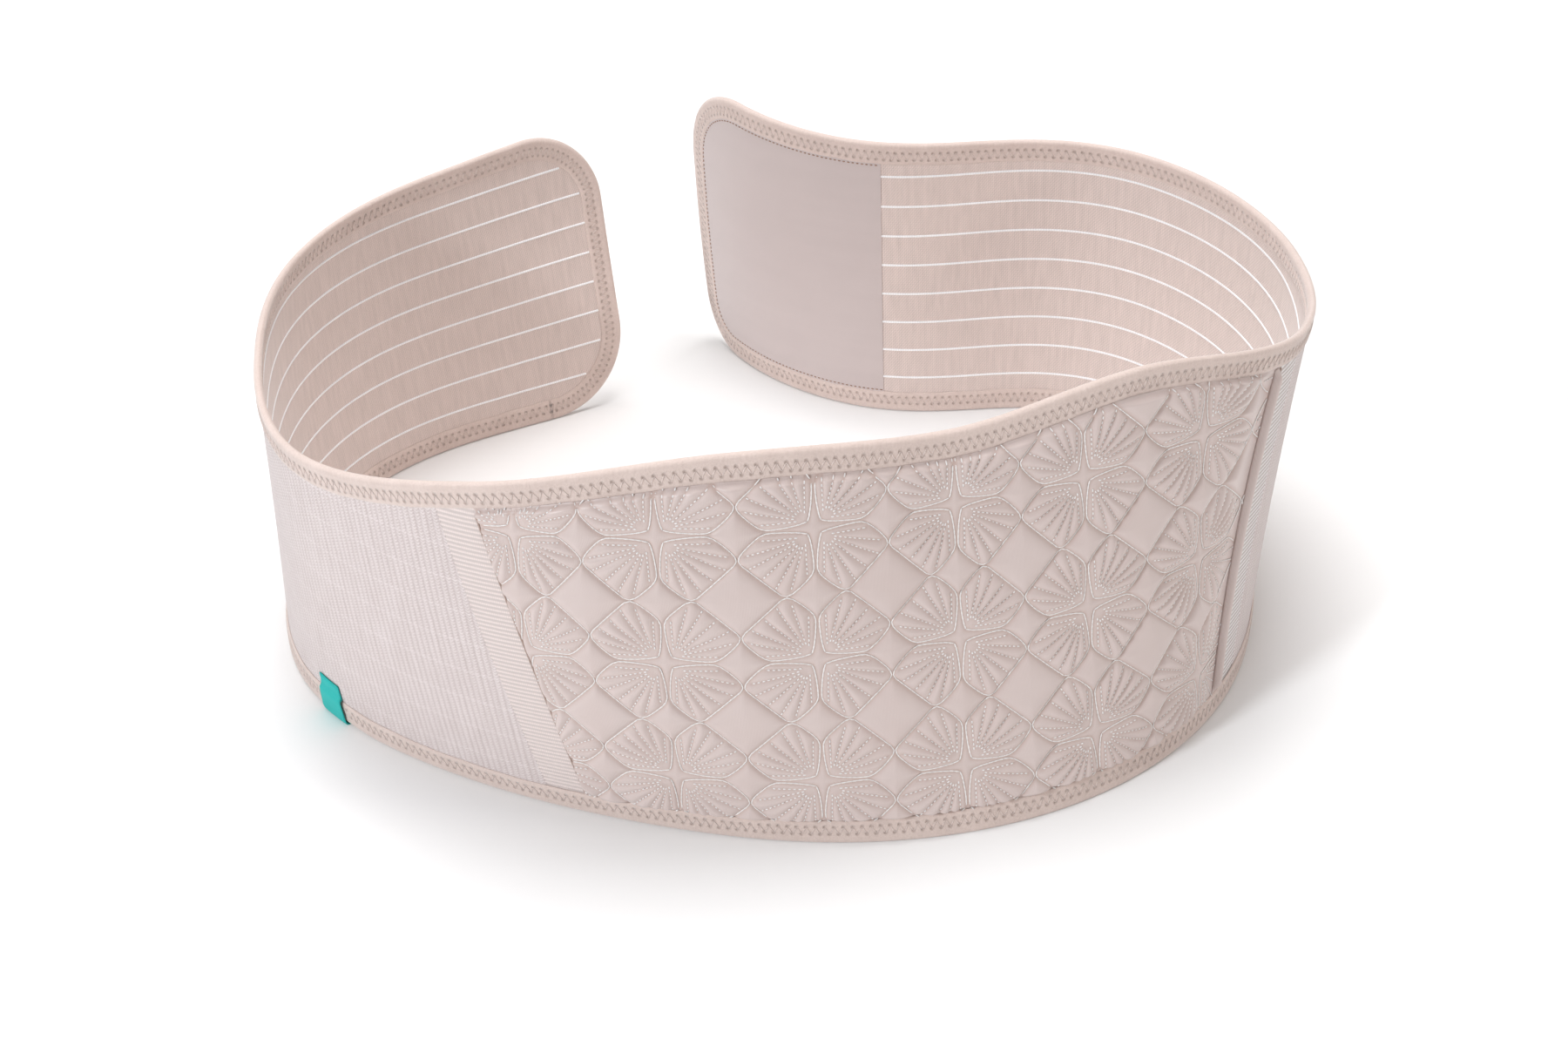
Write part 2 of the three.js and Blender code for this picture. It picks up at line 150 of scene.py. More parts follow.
# Half of a petal's outline, as shares of the flowers' spacing, from the flower's middle to the
# petal's tip on the diagonal; the other half is its mirror image. Then the far ends of the rays of
# dashes on that half, which start from one place near the flower's middle.
PETAL_HALF = np.array([
    (0.045, 0.045), (0.075, 0.034), (0.13, 0.024), (0.2, 0.016), (0.3, 0.01), (0.335, 0.016),
    (0.37, 0.04), (0.41, 0.078), (0.452, 0.122), (0.483, 0.16), (0.495, 0.188), (0.4965, 0.206),
    (0.486, 0.228), (0.456, 0.258), (0.3575, 0.3575),
])
CHANNEL_REACH = 0.325
RAY_START = np.array((0.062, 0.062))
RAY_SKIP = 0.17
ROOT_SIZE = 0.07
RAY_ENDS = np.array([(0.355, 0.056), (0.452, 0.166), (0.438, 0.268), (0.347, 0.347)])

# Wales of the wings' loop knit: their spacing and their slight lean
WALE_PITCH = 2.6 * MM
WALE_LEAN = 0.03

# Steps across and up the grids of the plain cloths
WING_GRID, BAND_GRID, PATCH_GRID = (169, 60), (12, 480), (69, 48)

# Ribbed bands over the seams
BAND_WIDTH = 16 * MM
BAND_SINK = 0.15 * MM
RIB_RISE = 0.3 * MM

# Hook patch inside the right end, which reaches under the binding by its tuck
PATCH_LENGTH = 115 * MM
PATCH_TUCK = 1 * MM
PATCH_THICK = 0.3 * MM
PATCH_STITCH = 2.1 * MM
PATCH_THREAD = 0.7 * MM
PATCH_BROWN = (0.36, 0.22, 0.16)

# Label folded round the lower edge of the left wing. It is cut narrower than its room, by one
# trim at its foot and a greater one at its top.
LABEL_MIDDLE = 307 * MM
LABEL_WIDTH = 16 * MM
LABEL_HEIGHT = 17.4 * MM
LABEL_TRIM_FOOT = 1 * MM
LABEL_TRIM_TOP = 3.2 * MM
LABEL_BACK = 8 * MM
LABEL_WALL = 0.5 * MM
LABEL_EASE = 12 * MM
LABEL_LIFT = LABEL_WALL + GAP

# Elastic lines inside the wings
STRIPE_FIRST = 18 * MM
STRIPE_PITCH = 14.5 * MM
STRIPE_COUNT = 8
STRIPE_SINK = 0.15 * MM

# Camera: its view, its place from the left end of the plan, its tilt and its roll
VIEW_LENS = 48.8
VIEW_WIDTH = 36
VIEW_TILT = 35.58
VIEW_ROLL = 3.03
VIEW_DISTANCE = 748.3 * MM
VIEW_PIVOT = np.array((69.4, -257.9, 105.6)) * MM

# Stage: half the floor's width, the world's colour and strength, and the lights: place, target,
# size, power and colour
FLOOR_HALF = 4.0
WORLD_COLOUR, WORLD_STRENGTH = (1, 0.975, 0.96), 0.4
LIGHTS = {
    "left_light": ((-1.7, -1.4, 1.3), (0, 0, 0.08), 0.35, 31.5, (0.91, 0.96, 1)),
    "right_light": ((1.9, -0.6, 1.0), (0, 0, 0.08), 0.4, 8.5, (1, 0.955, 0.92)),
    "top_light": ((0, 0.42, 2.1), (0, 0, 0.05), 1.0, 34, (1, 1, 1)),
}


class BeltSizes(bpy.types.PropertyGroup):
    quilt_relief: FloatProperty(
        name="Quilt Relief", description="Rise of a puff above its stitched valley",
        default=2.3 * MM, min=0, max=3 * MM, precision=5, unit="LENGTH", subtype="DISTANCE")
    grid_step: FloatProperty(
        name="Grid Step", description="Spacing of the quilted face's points",
        default=0.62 * MM, min=0.4 * MM, max=4 * MM, precision=5, unit="LENGTH", subtype="DISTANCE")
    thread_width: FloatProperty(
        name="Thread Width", description="Width of the quilting thread",
        default=0.58 * MM, min=0.2 * MM, max=1 * MM, precision=5, unit="LENGTH", subtype="DISTANCE")
    outline_stitch: FloatProperty(
        name="Outline Stitch", description="Length of a stitch on a petal's outline",
        default=2 * MM, min=1 * MM, max=5 * MM, precision=5, unit="LENGTH", subtype="DISTANCE")
    dash_pitch: FloatProperty(
        name="Dash Spacing", description="Spacing of the dashes on a petal's rays",
        default=1.75 * MM, min=0.8 * MM, max=5 * MM, precision=5, unit="LENGTH", subtype="DISTANCE")
    zigzag_pitch: FloatProperty(
        name="Zigzag Spacing", description="Spacing of the binding's zigzag stitches",
        default=3.35 * MM, min=1 * MM, max=8 * MM, precision=5, unit="LENGTH", subtype="DISTANCE")
    stripe_width: FloatProperty(
        name="Stripe Width", description="Width of an elastic line inside a wing",
        default=1.1 * MM, min=0.4 * MM, max=4 * MM, precision=5, unit="LENGTH", subtype="DISTANCE")
    rib_pitch: FloatProperty(
        name="Rib Spacing", description="Spacing of the ribs on the bands over the seams",
        default=1.95 * MM, min=1 * MM, max=6 * MM, precision=5, unit="LENGTH", subtype="DISTANCE")


class BeltColours(bpy.types.PropertyGroup):
    satin: FloatVectorProperty(
        name="Satin", description="Quilted face of the panel", subtype="COLOR", size=3,
        min=0, max=1, default=(0.6, 0.51, 0.488))
    thread: FloatVectorProperty(
        name="Quilting Thread", description="Thread of the quilting", subtype="COLOR", size=3,
        min=0, max=1, default=(0.95, 0.9, 0.885))
    loop_knit: FloatVectorProperty(
        name="Loop Knit", description="Outer face of the wings", subtype="COLOR", size=3,
        min=0, max=1, default=(0.625, 0.562, 0.555))
    elastic: FloatVectorProperty(
        name="Elastic", description="Inner face of the wings", subtype="COLOR", size=3,
        min=0, max=1, default=(0.69, 0.577, 0.535))
    stripe: FloatVectorProperty(
        name="Stripe", description="Elastic lines and ribs", subtype="COLOR", size=3,
        min=0, max=1, default=(0.93, 0.92, 0.93))
    band: FloatVectorProperty(
        name="Band", description="Ground of the ribbed bands", subtype="COLOR", size=3,
        min=0, max=1, default=(0.68, 0.59, 0.565))
    tape: FloatVectorProperty(
        name="Binding", description="Binding tape round the edge", subtype="COLOR", size=3,
        min=0, max=1, default=(0.72, 0.605, 0.56))
    hook: FloatVectorProperty(
        name="Hook Patch", description="Hook tape inside the right end", subtype="COLOR", size=3,
        min=0, max=1, default=(0.57, 0.49, 0.475))
    label: FloatVectorProperty(
        name="Label", description="Blank label tab", subtype="COLOR", size=3,
        min=0, max=1, default=(0.03, 0.49, 0.455))
    floor: FloatVectorProperty(
        name="Floor", description="Studio floor", subtype="COLOR", size=3,
        min=0, max=1, default=(0.9, 0.9, 0.9))


# The belt's surface

def smoothstep(value, low, high):
    """0 below low, 1 above high, and 3f^2 - 2f^3 between them."""
    f = np.clip((value - low) / (high - low), 0, 1)
    return f * f * (3 - 2 * f)


def even(steps):
    return np.linspace(0, 1, steps + 1)


def station(column, share):
    """A column of the station table as a smooth line. Between rows b and c, at a share f of the way,
    it is b + f/2 (c - a + f (2a - 5b + 4c - d + f (3b - 3c + d - a))), with a and d the rows beyond."""
    last = len(STATIONS) - 1
    place = np.clip(share, 0, 1) * last
    row = np.minimum(np.floor(place), last - 1).astype(int)
    f = place - row
    a, b, c, d = (STATIONS[np.clip(row + k, 0, last), column] for k in (-1, 0, 1, 2))
    return b + 0.5 * f * (c - a + f * (2 * a - 5 * b + 4 * c - d + f * (3 * (b - c) + d - a)))


def walk_plan():
    """The plan line from the left end: equal steps, each along the heading at its middle."""
    turn = np.radians(station(HEADING, (np.arange(PLAN_STEPS) + 0.5) / PLAN_STEPS))
    steps = np.stack([np.cos(turn), np.sin(turn)], axis=1) * BELT_LENGTH / PLAN_STEPS
    return np.concatenate([np.zeros((1, 2)), np.cumsum(steps, axis=0)])


PLAN = walk_plan()
PLAN_PLACES = np.linspace(0, BELT_LENGTH, PLAN_STEPS + 1)


def cloth_height(along):
    return BELT_HEIGHT * station(HEIGHT, along / BELT_LENGTH)


def on_belt(along, up, out, shift=(0, 0)):
    """A point of the belt: its place on the plan line, pushed outward by the lean times up, by the
    bulge times 4 l (1 - l) for a level l, and by out; and raised to up times the lean's cosine."""
    share = along / BELT_LENGTH
    heading = np.radians(station(HEADING, share))
    level = up / cloth_height(along)
    lean = station(LEAN, share)
    push = lean * up + BELT_HEIGHT * station(BULGE, share) * 4 * level * (1 - level) + out
    x = np.interp(along, PLAN_PLACES, PLAN[:, 0]) + np.sin(heading) * push + shift[0]
    y = np.interp(along, PLAN_PLACES, PLAN[:, 1]) - np.cos(heading) * push + shift[1]
    return np.stack([x, y, up * np.sqrt(1 - lean * lean) + 0 * x], axis=-1)


def find_shift():
    """How far the plan line moves to meet the frame: the tape's low corner of the frame, less the
    same corner of the tape's edges worked out at the frame's own facets. The tape's lower edges are
    bevelled by 0.8 mm, and the facets stop five short of the round ends."""
    facets = PLAN_PLACES[5 * STEPS_PER_FACET:-5 * STEPS_PER_FACET:STEPS_PER_FACET]
    bevel = 0.8 * MM
    up = np.array((0, bevel, TAPE_WIDTH))[:, None, None]
    out = np.array((TAPE_HALF - bevel, TAPE_HALF, TAPE_HALF))[:, None, None] * np.array((1, -1))[:, None]
    low = on_belt(facets, up, out).reshape(-1, 3).min(axis=0)
    halves = ("bottom_binding_left", "bottom_binding_right")
    corner = np.min([np.array(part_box(node)[0]) for node in halves], axis=0)
    return corner[:2] - low[:2]


SHIFT = find_shift()


def belt_point(along, up, out):
    return on_belt(np.asarray(along, float), np.asarray(up, float), out, SHIFT)


def outward(along):
    """The level direction that faces away from the body."""
    heading = np.radians(station(HEADING, along / BELT_LENGTH))
    return np.stack([np.sin(heading), -np.cos(heading), 0 * heading], axis=-1)


def foot_rise(along):
    """The lower edge's rise over the label, which eases to nothing on both sides of it."""
    beyond = np.abs(along - LABEL_MIDDLE) - LABEL_WIDTH / 2 - GAP
    return LABEL_LIFT * np.clip(1 - beyond / LABEL_EASE, 0, 1)


def top_edge(along):
    """The upper edge, level over the two round corners."""
    return cloth_height(np.clip(along, LEFT_UPPER, BELT_LENGTH - RIGHT_UPPER))


def corner_cut(from_end, radius, inset):
    """What a round corner takes off the height: r - sqrt(r^2 - x^2), with the radius less the inset."""
    reach = radius - inset
    cut = reach - np.sqrt(np.maximum(reach * reach - (radius - from_end) ** 2, 0))
    return np.where(from_end < radius, cut, 0)


def both_cuts(along, left, right, inset):
    return np.maximum(corner_cut(along, left, inset), corner_cut(BELT_LENGTH - along, right, inset))


def lower_limit(along, inset):
    return foot_rise(along) + inset + both_cuts(along, LEFT_LOWER, RIGHT_LOWER, inset)


def upper_limit(along, inset):
    return top_edge(along) - inset - both_cuts(along, LEFT_UPPER, RIGHT_UPPER, inset)


def from_binding(along, up):
    """The distance from a place on the cloth to the nearer of the binding's two borders."""
    return np.minimum(up - foot_rise(along), cloth_height(along) - up) - TAPE_WIDTH


def panel_half(up):
    return (PANEL_FOOT + (PANEL_TOP - PANEL_FOOT) * up / BELT_HEIGHT) / 2


def seam(side, shift=0.0):
    """The panel's slanted seam on one side (-1 left, 1 right), moved along by shift."""
    return lambda up: PANEL_MIDDLE + side * panel_half(up) + shift


def straight(along):
    """A side line square to the belt, at one place along it."""
    return lambda up: along + 0 * up


def cloth_grid(left, right, inset, across, levels):
    """Places on the cloth between two side lines: a share of the way across and a share of the way
    up between the limits there. The two depend on each other, so they are settled in rounds."""
    up = levels[:, None] * BELT_HEIGHT + 0 * across[None, :]
    for _ in range(ROUNDS):
        along = left(up) + (right(up) - left(up)) * across[None, :]
        low, high = lower_limit(along, inset), upper_limit(along, inset)
        up = low + (high - low) * levels[:, None]
    return along, up


# Making pieces

def add_piece(name, points, faces, finishes, places=None, face_finish=None):
    """Puts whole arrays into a mesh. faces is a list of arrays of corner numbers, one array for each
    number of corners; places are the points' places on the cloth, for its pattern."""
    mesh = bpy.data.meshes.new(name)
    points = np.asarray(points, np.float32).reshape(-1, 3)
    corners = np.concatenate([f.ravel() for f in faces]).astype(np.int32)
    sizes = np.concatenate([np.full(len(f), f.shape[1]) for f in faces])
    starts = np.concatenate([[0], np.cumsum(sizes)[:-1]]).astype(np.int32)
    mesh.vertices.add(len(points))
    mesh.vertices.foreach_set("co", points.ravel())
    mesh.loops.add(len(corners))
    mesh.loops.foreach_set("vertex_index", corners)
    mesh.polygons.add(len(sizes))
    mesh.polygons.foreach_set("loop_start", starts)
    mesh.polygons.foreach_set("use_smooth", np.ones(len(sizes), bool))
    if face_finish is not None:
        mesh.polygons.foreach_set("material_index", np.concatenate(face_finish).astype(np.int32))
    mesh.update(calc_edges=True)
    if places is not None:
        layer = mesh.uv_layers.new(name="cloth")
        layer.uv.foreach_set("vector", places.reshape(-1, 2)[corners].astype(np.float32).ravel())
    for finish in finishes:
        mesh.materials.append(finish)
    piece = bpy.data.objects.new(name, mesh)
    bpy.context.scene.collection.objects.link(piece)
    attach(piece, BODY)
    return piece


def grid_faces(numbers):
    """The four-cornered faces of a grid of point numbers, turned so that a grid that runs right and
    up faces the viewer."""
    corners = numbers[:-1, :-1], numbers[:-1, 1:], numbers[1:, 1:], numbers[1:, :-1]
    return np.stack(corners, axis=-1).reshape(-1, 4)


def rim_faces(fine, coarse):
    """Faces between a fine row of points and a coarse one: each spans one coarse step and all the
    fine steps beside it."""
    ratio = (len(fine) - 1) // (len(coarse) - 1)
    starts = np.arange(len(coarse) - 1) * ratio
    return np.column_stack([fine[starts[:, None] + np.arange(ratio + 1)], coarse[1:], coarse[:-1]])


def closed_cloth(name, outer, inner, finishes, lean=0.0):
    """A closed piece of cloth from the grids (along, up, out) of its two faces. The outer grid's
    steps are whole fractions of the inner grid's. The rim joins the two. The outer face's pattern
    leans: its place along the cloth is moved by lean times up. Both faces' borders are sharp edges."""
    shapes = [grid[0].shape for grid in (outer, inner)]
    numbers = np.arange(shapes[0][0] * shapes[0][1]).reshape(shapes[0])
    backs = (np.arange(shapes[1][0] * shapes[1][1]) + numbers.size).reshape(shapes[1])
    points = np.concatenate([belt_point(*grid).reshape(-1, 3) for grid in (outer, inner)])
    places = np.concatenate([
        np.stack([grid[0] + slant * grid[1], grid[1]], axis=-1).reshape(-1, 2)
        for grid, slant in ((outer, lean), (inner, 0))
    ])
    low, high = rim_faces(numbers[0], backs[0]), rim_faces(numbers[-1], backs[-1])
    left, right = rim_faces(numbers[:, 0], backs[:, 0]), rim_faces(numbers[:, -1], backs[:, -1])
    faces = [
        grid_faces(numbers),
        grid_faces(backs)[:, ::-1],
        np.concatenate([low[:, ::-1], high]),
        np.concatenate([left, right[:, ::-1]]),
    ]
    finish = [np.full(len(f), 1 if k == 1 and len(finishes) > 1 else 0) for k, f in enumerate(faces)]
    piece = add_piece(name, points, faces, finishes, places, finish)
    border = np.zeros(len(points), int)
    for side, grid in ((1, numbers), (2, backs)):
        for line in (grid[0], grid[-1], grid[:, 0], grid[:, -1]):
            border[line] = side
    mesh = piece.data
    ends = np.zeros(len(mesh.edges) * 2, np.int32)
    mesh.edges.foreach_get("vertices", ends)
    first, second = border[ends.reshape(-1, 2)].T
    mesh.edges.foreach_set("use_edge_sharp", (first == second) & (first > 0))
    return piece


def declare(piece, slot, *nodes):
    """Hides the solids that a piece replaces; the piece and its slot are not used."""
    if nodes:
        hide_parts(*nodes)


def declare_stretched(cloth, slot, node):
    """Hides the solid that a cloth over a grid of places replaces; the cloth and its slot are not used."""
    declare(cloth, slot, node)


def closed_tube(name, along, up, out, finish, places):
    """A closed piece from a grid of which each row runs round one section; its ends are closed."""
    numbers = np.arange(along.size).reshape(along.shape)
    around = np.concatenate([numbers, numbers[:, :1]], axis=1)
    faces = [grid_faces(around), np.stack([numbers[0, ::-1], numbers[-1]])]
    return add_piece(name, belt_point(along, up, out), faces, [finish], places)


def threads(name, start, end, out, width, finish):
    """Short threads between pairs of points. Each is a bead, five-sided, that swells from a point at
    its start to its full width and back to a point at its end."""
    sides, rings = 5, np.array(((0.12, 0.72), (0.5, 1.0), (0.88, 0.72)))
    run = end - start
    across = np.cross(out, run)
    across /= np.linalg.norm(across, axis=1, keepdims=True)
    rise = np.cross(run, across)
    rise /= np.linalg.norm(rise, axis=1, keepdims=True)
    turn = np.arange(sides) * 2 * np.pi / sides + np.pi / 2
    ring = (across[:, None] * np.cos(turn)[:, None] + rise[:, None] * np.sin(turn)[:, None]) * width / 2
    middle = start[:, None] + run[:, None] * rings[:, :1]
    body = middle[:, :, None] + ring[:, None] * rings[:, 1][:, None, None]
    points = np.concatenate([start[:, None], body.reshape(len(start), -1, 3), end[:, None]], axis=1)
    each = points.shape[1]
    k = np.arange(sides)
    n = (k + 1) % sides
    first = np.column_stack([np.zeros(sides, int), n + 1, k + 1])
    tail = 1 + (len(rings) - 1) * sides
    last = np.column_stack([np.full(sides, each - 1), k + tail, n + tail])
    quads = np.concatenate([
        np.column_stack([k, n, n + sides, k + sides]) + 1 + r * sides for r in range(len(rings) - 1)
    ])
    base = (np.arange(len(start)) * each)[:, None, None]
    faces = [(base + np.concatenate([first, last])).reshape(-1, 3), (base + quads).reshape(-1, 4)]
    return add_piece(name, points, faces, [finish])


def sewn(name, starts, ends, out, width, finish, side=1):
    """Threads between places on the cloth, at the height that out gives for a place, on its outer
    side (1) or its inner side (-1)."""
    low, high = (belt_point(*places.T, out(*places.T)) for places in (starts, ends))
    return threads(name, low, high, side * outward(starts[:, 0]), width, finish)


# Materials

class Finish:
    """A new material with one shader, and short ways to make the nodes of its pattern."""

    def __init__(self, name, colour, roughness, sheen, specular):
        self.material = bpy.data.materials.new(name)
        self.material.use_nodes = True
        self.tree = self.material.node_tree
        self.shader = self.tree.nodes["Principled BSDF"].inputs
        self.shader["Base Color"].default_value = (*colour, 1)
        self.shader["Roughness"].default_value = roughness
        self.shader["Specular IOR Level"].default_value = specular
        self.shader["Sheen Weight"].default_value = sheen
        self.shader["Sheen Roughness"].default_value = 0.4

    def node(self, kind, *values, **settings):
        """Adds a node, and links or sets its inputs in their order."""
        made = self.tree.nodes.new(kind)
        for key, value in settings.items():
            setattr(made, key, value)
        for place, value in enumerate(values):
            if isinstance(value, bpy.types.NodeSocket):
                self.tree.links.new(value, made.inputs[place])
            elif value is not None:
                made.inputs[place].default_value = value
        return made

    def maths(self, kind, *values):
        return self.node("ShaderNodeMath", *values, operation=kind).outputs[0]

    def plus(self, one, two):
        return self.maths("ADD", one, two)

    def times(self, one, two, more=0.0):
        """One times two, and more added."""
        return self.maths("MULTIPLY_ADD", one, two, more)

    def ripple(self, value, pitch):
        """A wave from 0 to 1 that repeats at each pitch: half of 1 plus the sine."""
        return self.times(self.maths("SINE", self.times(value, 2 * math.pi / pitch)), 0.5, 0.5)

    def noise(self, vector, scale, detail=2.0, rough=0.5, stretch=None):
        """Noise over a place, drawn out long where stretch scales the place down."""
        if stretch is not None:
            vector = self.node("ShaderNodeMapping", vector, None, None, (*stretch, 1.0)).outputs[0]
        return self.node("ShaderNodeTexNoise", vector, None, scale, detail, rough).outputs[0]

    def cloth_place(self):
        """The place on the cloth from the piece's own map: the vector, along and up."""
        place = self.node("ShaderNodeUVMap", uv_map="cloth").outputs[0]
        split = self.node("ShaderNodeSeparateXYZ", place)
        return place, split.outputs[0], split.outputs[1]

    def object_place(self):
        return self.node("ShaderNodeTexCoord").outputs["Object"]

    def colour_between(self, tone, low, high):
        """Colours the shader between two colours, by a tone from 0 to 1."""
        mix = self.node("ShaderNodeMix", tone, data_type="RGBA")
        mix.inputs[6].default_value = (*low, 1)
        mix.inputs[7].default_value = (*high, 1)
        self.tree.links.new(mix.outputs[2], self.shader["Base Color"])

    def relief(self, height, strength, depth):
        """Gives the shader the fine relief of a height."""
        bump = self.node("ShaderNodeBump")
        bump.inputs["Strength"].default_value = strength
        bump.inputs["Distance"].default_value = depth
        self.tree.links.new(height, bump.inputs["Height"])
        self.tree.links.new(bump.outputs[0], self.shader["Normal"])


def once(name, colour, gloss, pattern):
    """The material of this name, made the first time that it is asked for. gloss is its roughness,
    sheen and specular; pattern works out its tone, its two colours, and its relief's height,
    strength and depth."""
    if name not in bpy.data.materials:
        finish = Finish(name, colour, *gloss)
        tone, low, high, *relief = pattern(finish)
        finish.colour_between(tone, low, high)
        finish.relief(*relief)
    return bpy.data.materials[name]


def scaled(colour, factor):
    return tuple(min(c * factor, 1) for c in colour)


def satin_finish(colour):
    """Fine satin: hair-thin upright threads, a soft cross grain and slow changes of tone, with
    painted shade, dark brown, in the valleys where the stitches draw it in."""
    def pattern(f):
        place, along, _ = f.cloth_place()
        thread = f.ripple(along, 0.42 * MM)
        # Painted shade of the stitched valleys darkens the tone towards the dark brown low colour
        drawn = f.node("ShaderNodeAttribute", attribute_name="painted_stitch_shade").outputs["Fac"]
        tone = f.times(thread, 0.18, f.times(f.noise(place, 60, 3), 0.5, 0.2))
        tone = f.times(drawn, -0.38, f.times(tone, 0.3, 0.72))
        height = f.times(f.noise(place, 2600), 0.6, thread)
        return tone, (0.4, 0.23, 0.17), scaled(colour, 1.08), height, 0.35, 0.05 * MM
    return once("Quilted Satin", colour, (0.38, 0.35, 0.6), pattern)


def thread_finish(name, colour, roughness):
    """Glossy thread: a fine uneven grain in its tone and its relief."""
    def pattern(f):
        grain = f.noise(f.object_place(), 3000)
        return grain, scaled(colour, 0.76), scaled(colour, 1.15), grain, 0.3, 0.1 * MM
    return once(name, colour, (roughness, 0.4, 0.5), pattern)


def loop_finish(colour):
    """Brushed loops: wales of small chevron loops with gaps between them, broken white threads where
    the elastic lines run behind, and long soft streaks."""
    def pattern(f):
        place, along, up = f.cloth_place()
        line = f.times(f.noise(place, 260), 0.7 * MM, along)
        ridge = f.maths("PINGPONG", f.times(line, 1 / WALE_PITCH), 0.5)
        chevron = f.ripple(f.times(ridge, 2.2 * MM, up), 1.3 * MM)
        gapped = f.maths("SMOOTH_MIN", f.times(ridge, 2.6, 0.25), 1.0, 0.3)
        fuzz = f.noise(place, 1500, 3, 0.7)
        behind = f.times(up, 1 / STRIPE_PITCH, 0.5 - STRIPE_FIRST / STRIPE_PITCH)
        near = f.maths("ABSOLUTE", f.maths("SUBTRACT", f.maths("FRACT", behind), 0.5))
        line_on = f.maths("MAXIMUM", f.times(near, -24.0, 1.0), 0.0)
        broken = f.times(line_on, f.noise(place, 700, 1, stretch=(0.25, 1)))
        loops = f.times(gapped, f.times(chevron, 0.8, 0.2))
        tone = f.times(loops, 0.75, f.times(fuzz, 1.2, -0.4))
        tone = f.plus(tone, f.times(f.noise(place, 420, stretch=(1, 0.1)), 0.5, -0.25))
        gaps = (0.76 * colour[0], 0.69 * colour[1], 0.67 * colour[2])
        height = f.times(fuzz, 0.6, loops)
        return f.times(broken, 0.4, tone), gaps, scaled(colour, 1.22), height, 0.5, 0.3 * MM
    return once("Loop Knit", colour, (0.9, 0.4, 0.1), pattern)


def elastic_finish(colour):
    """Fine elastic twill: slanting lines, crossed by close upright threads, with long streaks."""
    def pattern(f):
        place, along, up = f.cloth_place()
        twill = f.ripple(f.plus(along, f.times(up, 0.8)), 1.3 * MM)
        crossed = f.times(f.ripple(along, 0.9 * MM), f.ripple(up, 0.75 * MM))
        weave = f.plus(f.times(twill, 0.4), f.times(crossed, 0.6))
        height = f.times(weave, 0.7, f.times(f.noise(place, 1300, 3), 0.3))
        tone = f.plus(height, f.times(f.noise(place, 500, stretch=(1, 0.12)), 0.5, -0.2))
        return tone, scaled(colour, 0.77), scaled(colour, 1.23), height, 0.6, 0.2 * MM
    return once("Striped Elastic", colour, (0.75, 0.35, 0.2), pattern)


def lining_finish(colour):
    """Plain fine jersey: close upright ribs of tiny stitches."""
    def pattern(f):
        place, along, up = f.cloth_place()
        knit = f.times(f.ripple(along, 0.8 * MM), f.ripple(up, 0.7 * MM))
        tone = f.times(knit, 0.5, f.times(f.noise(place, 1200), 0.5))
        return tone, scaled(colour, 0.9), scaled(colour, 1.06), tone, 0.4, 0.12 * MM
    return once("Panel Lining", colour, (0.7, 0.3, 0.25), pattern)


def stripe_finish(colour):
    """White elastic line: short cross ticks where the knit crosses it."""
    def pattern(f):
        tick = f.ripple(f.cloth_place()[1], 1.1 * MM)
        return tick, scaled(colour, 0.92), scaled(colour, 1.03), tick, 0.25, 0.15 * MM
    return once("Elastic Line", colour, (0.6, 0.3, 0.3), pattern)


def band_finish(name, ground, rib, pitch):
    """Ribbed tape: pale ribs that lie across it on a darker ground, with fine upright threads."""
    def pattern(f):
        place, along, up = f.cloth_place()
        ribs = f.ripple(f.plus(up, pitch / 4), pitch)
        sharp = f.maths("SMOOTH_MIN", f.times(ribs, 1.7, -0.5), 1.0, 0.2)
        pick, grain = f.ripple(along, 0.8 * MM), f.noise(place, 1500)
        tone = f.times(f.times(pick, 0.5, 0.5), sharp, f.times(grain, 0.3, -0.15))
        return tone, ground, rib, f.plus(pick, grain), 0.4, 0.12 * MM
    return once(name, ground, (0.75, 0.35, 0.2), pattern)


def tape_finish(colour, pitch):
    """Soft brushed tape: fine fuzz, with a dent round each needle hole of the two rows, darkened by painted
    shade.
    """
    def pattern(f):
        place, along, up = f.cloth_place()
        depth = f.maths("ABSOLUTE", up)

        def row(level, phase):
            turn = f.maths("FRACT", f.times(along, 1 / pitch, phase + 0.5))
            near = f.times(f.maths("SUBTRACT", turn, 0.5), pitch)
            off = f.maths("SUBTRACT", depth, level)
            distance = f.maths("SQRT", f.times(near, near, f.times(off, off)))
            return f.times(distance, -1 / (0.95 * MM), 1.0)

        holes = f.maths("MAXIMUM", f.maths("MAXIMUM", row(ZIGZAG_NEAR, 0), row(ZIGZAG_FAR, 0.5)), 0.0)
        pile = f.times(f.noise(place, 1050, 4, 0.65), 0.7, f.times(f.noise(place, 90), 0.35))
        # The dents darken the tone with painted shade, towards the brown low colour, and sink the relief
        tone, height = f.times(holes, -0.85, pile), f.times(holes, -1.4, pile)
        return tone, (0.53, 0.415, 0.37), scaled(colour, 1.13), height, 0.9, 0.5 * MM
    return once("Binding Tape", colour, (0.9, 0.55, 0.12), pattern)


def hook_finish(colour):
    """Hook tape: a smooth close field of tiny hooks in slanting rows."""
    def pattern(f):
        place, along, up = f.cloth_place()
        rising, falling = f.plus(along, up), f.maths("SUBTRACT", along, up)
        hooks = f.times(f.ripple(rising, 0.85 * MM), f.ripple(falling, 0.85 * MM))
        pulled = f.times(f.noise(place, 160, stretch=(0.06, 1)), 0.5)
        tone = f.times(hooks, 0.3, f.times(f.noise(place, 40), 0.3, pulled))
        return tone, scaled(colour, 0.94), scaled(colour, 1.06), hooks, 0.3, 0.1 * MM
    return once("Hook Tape", colour, (0.55, 0.25, 0.35), pattern)


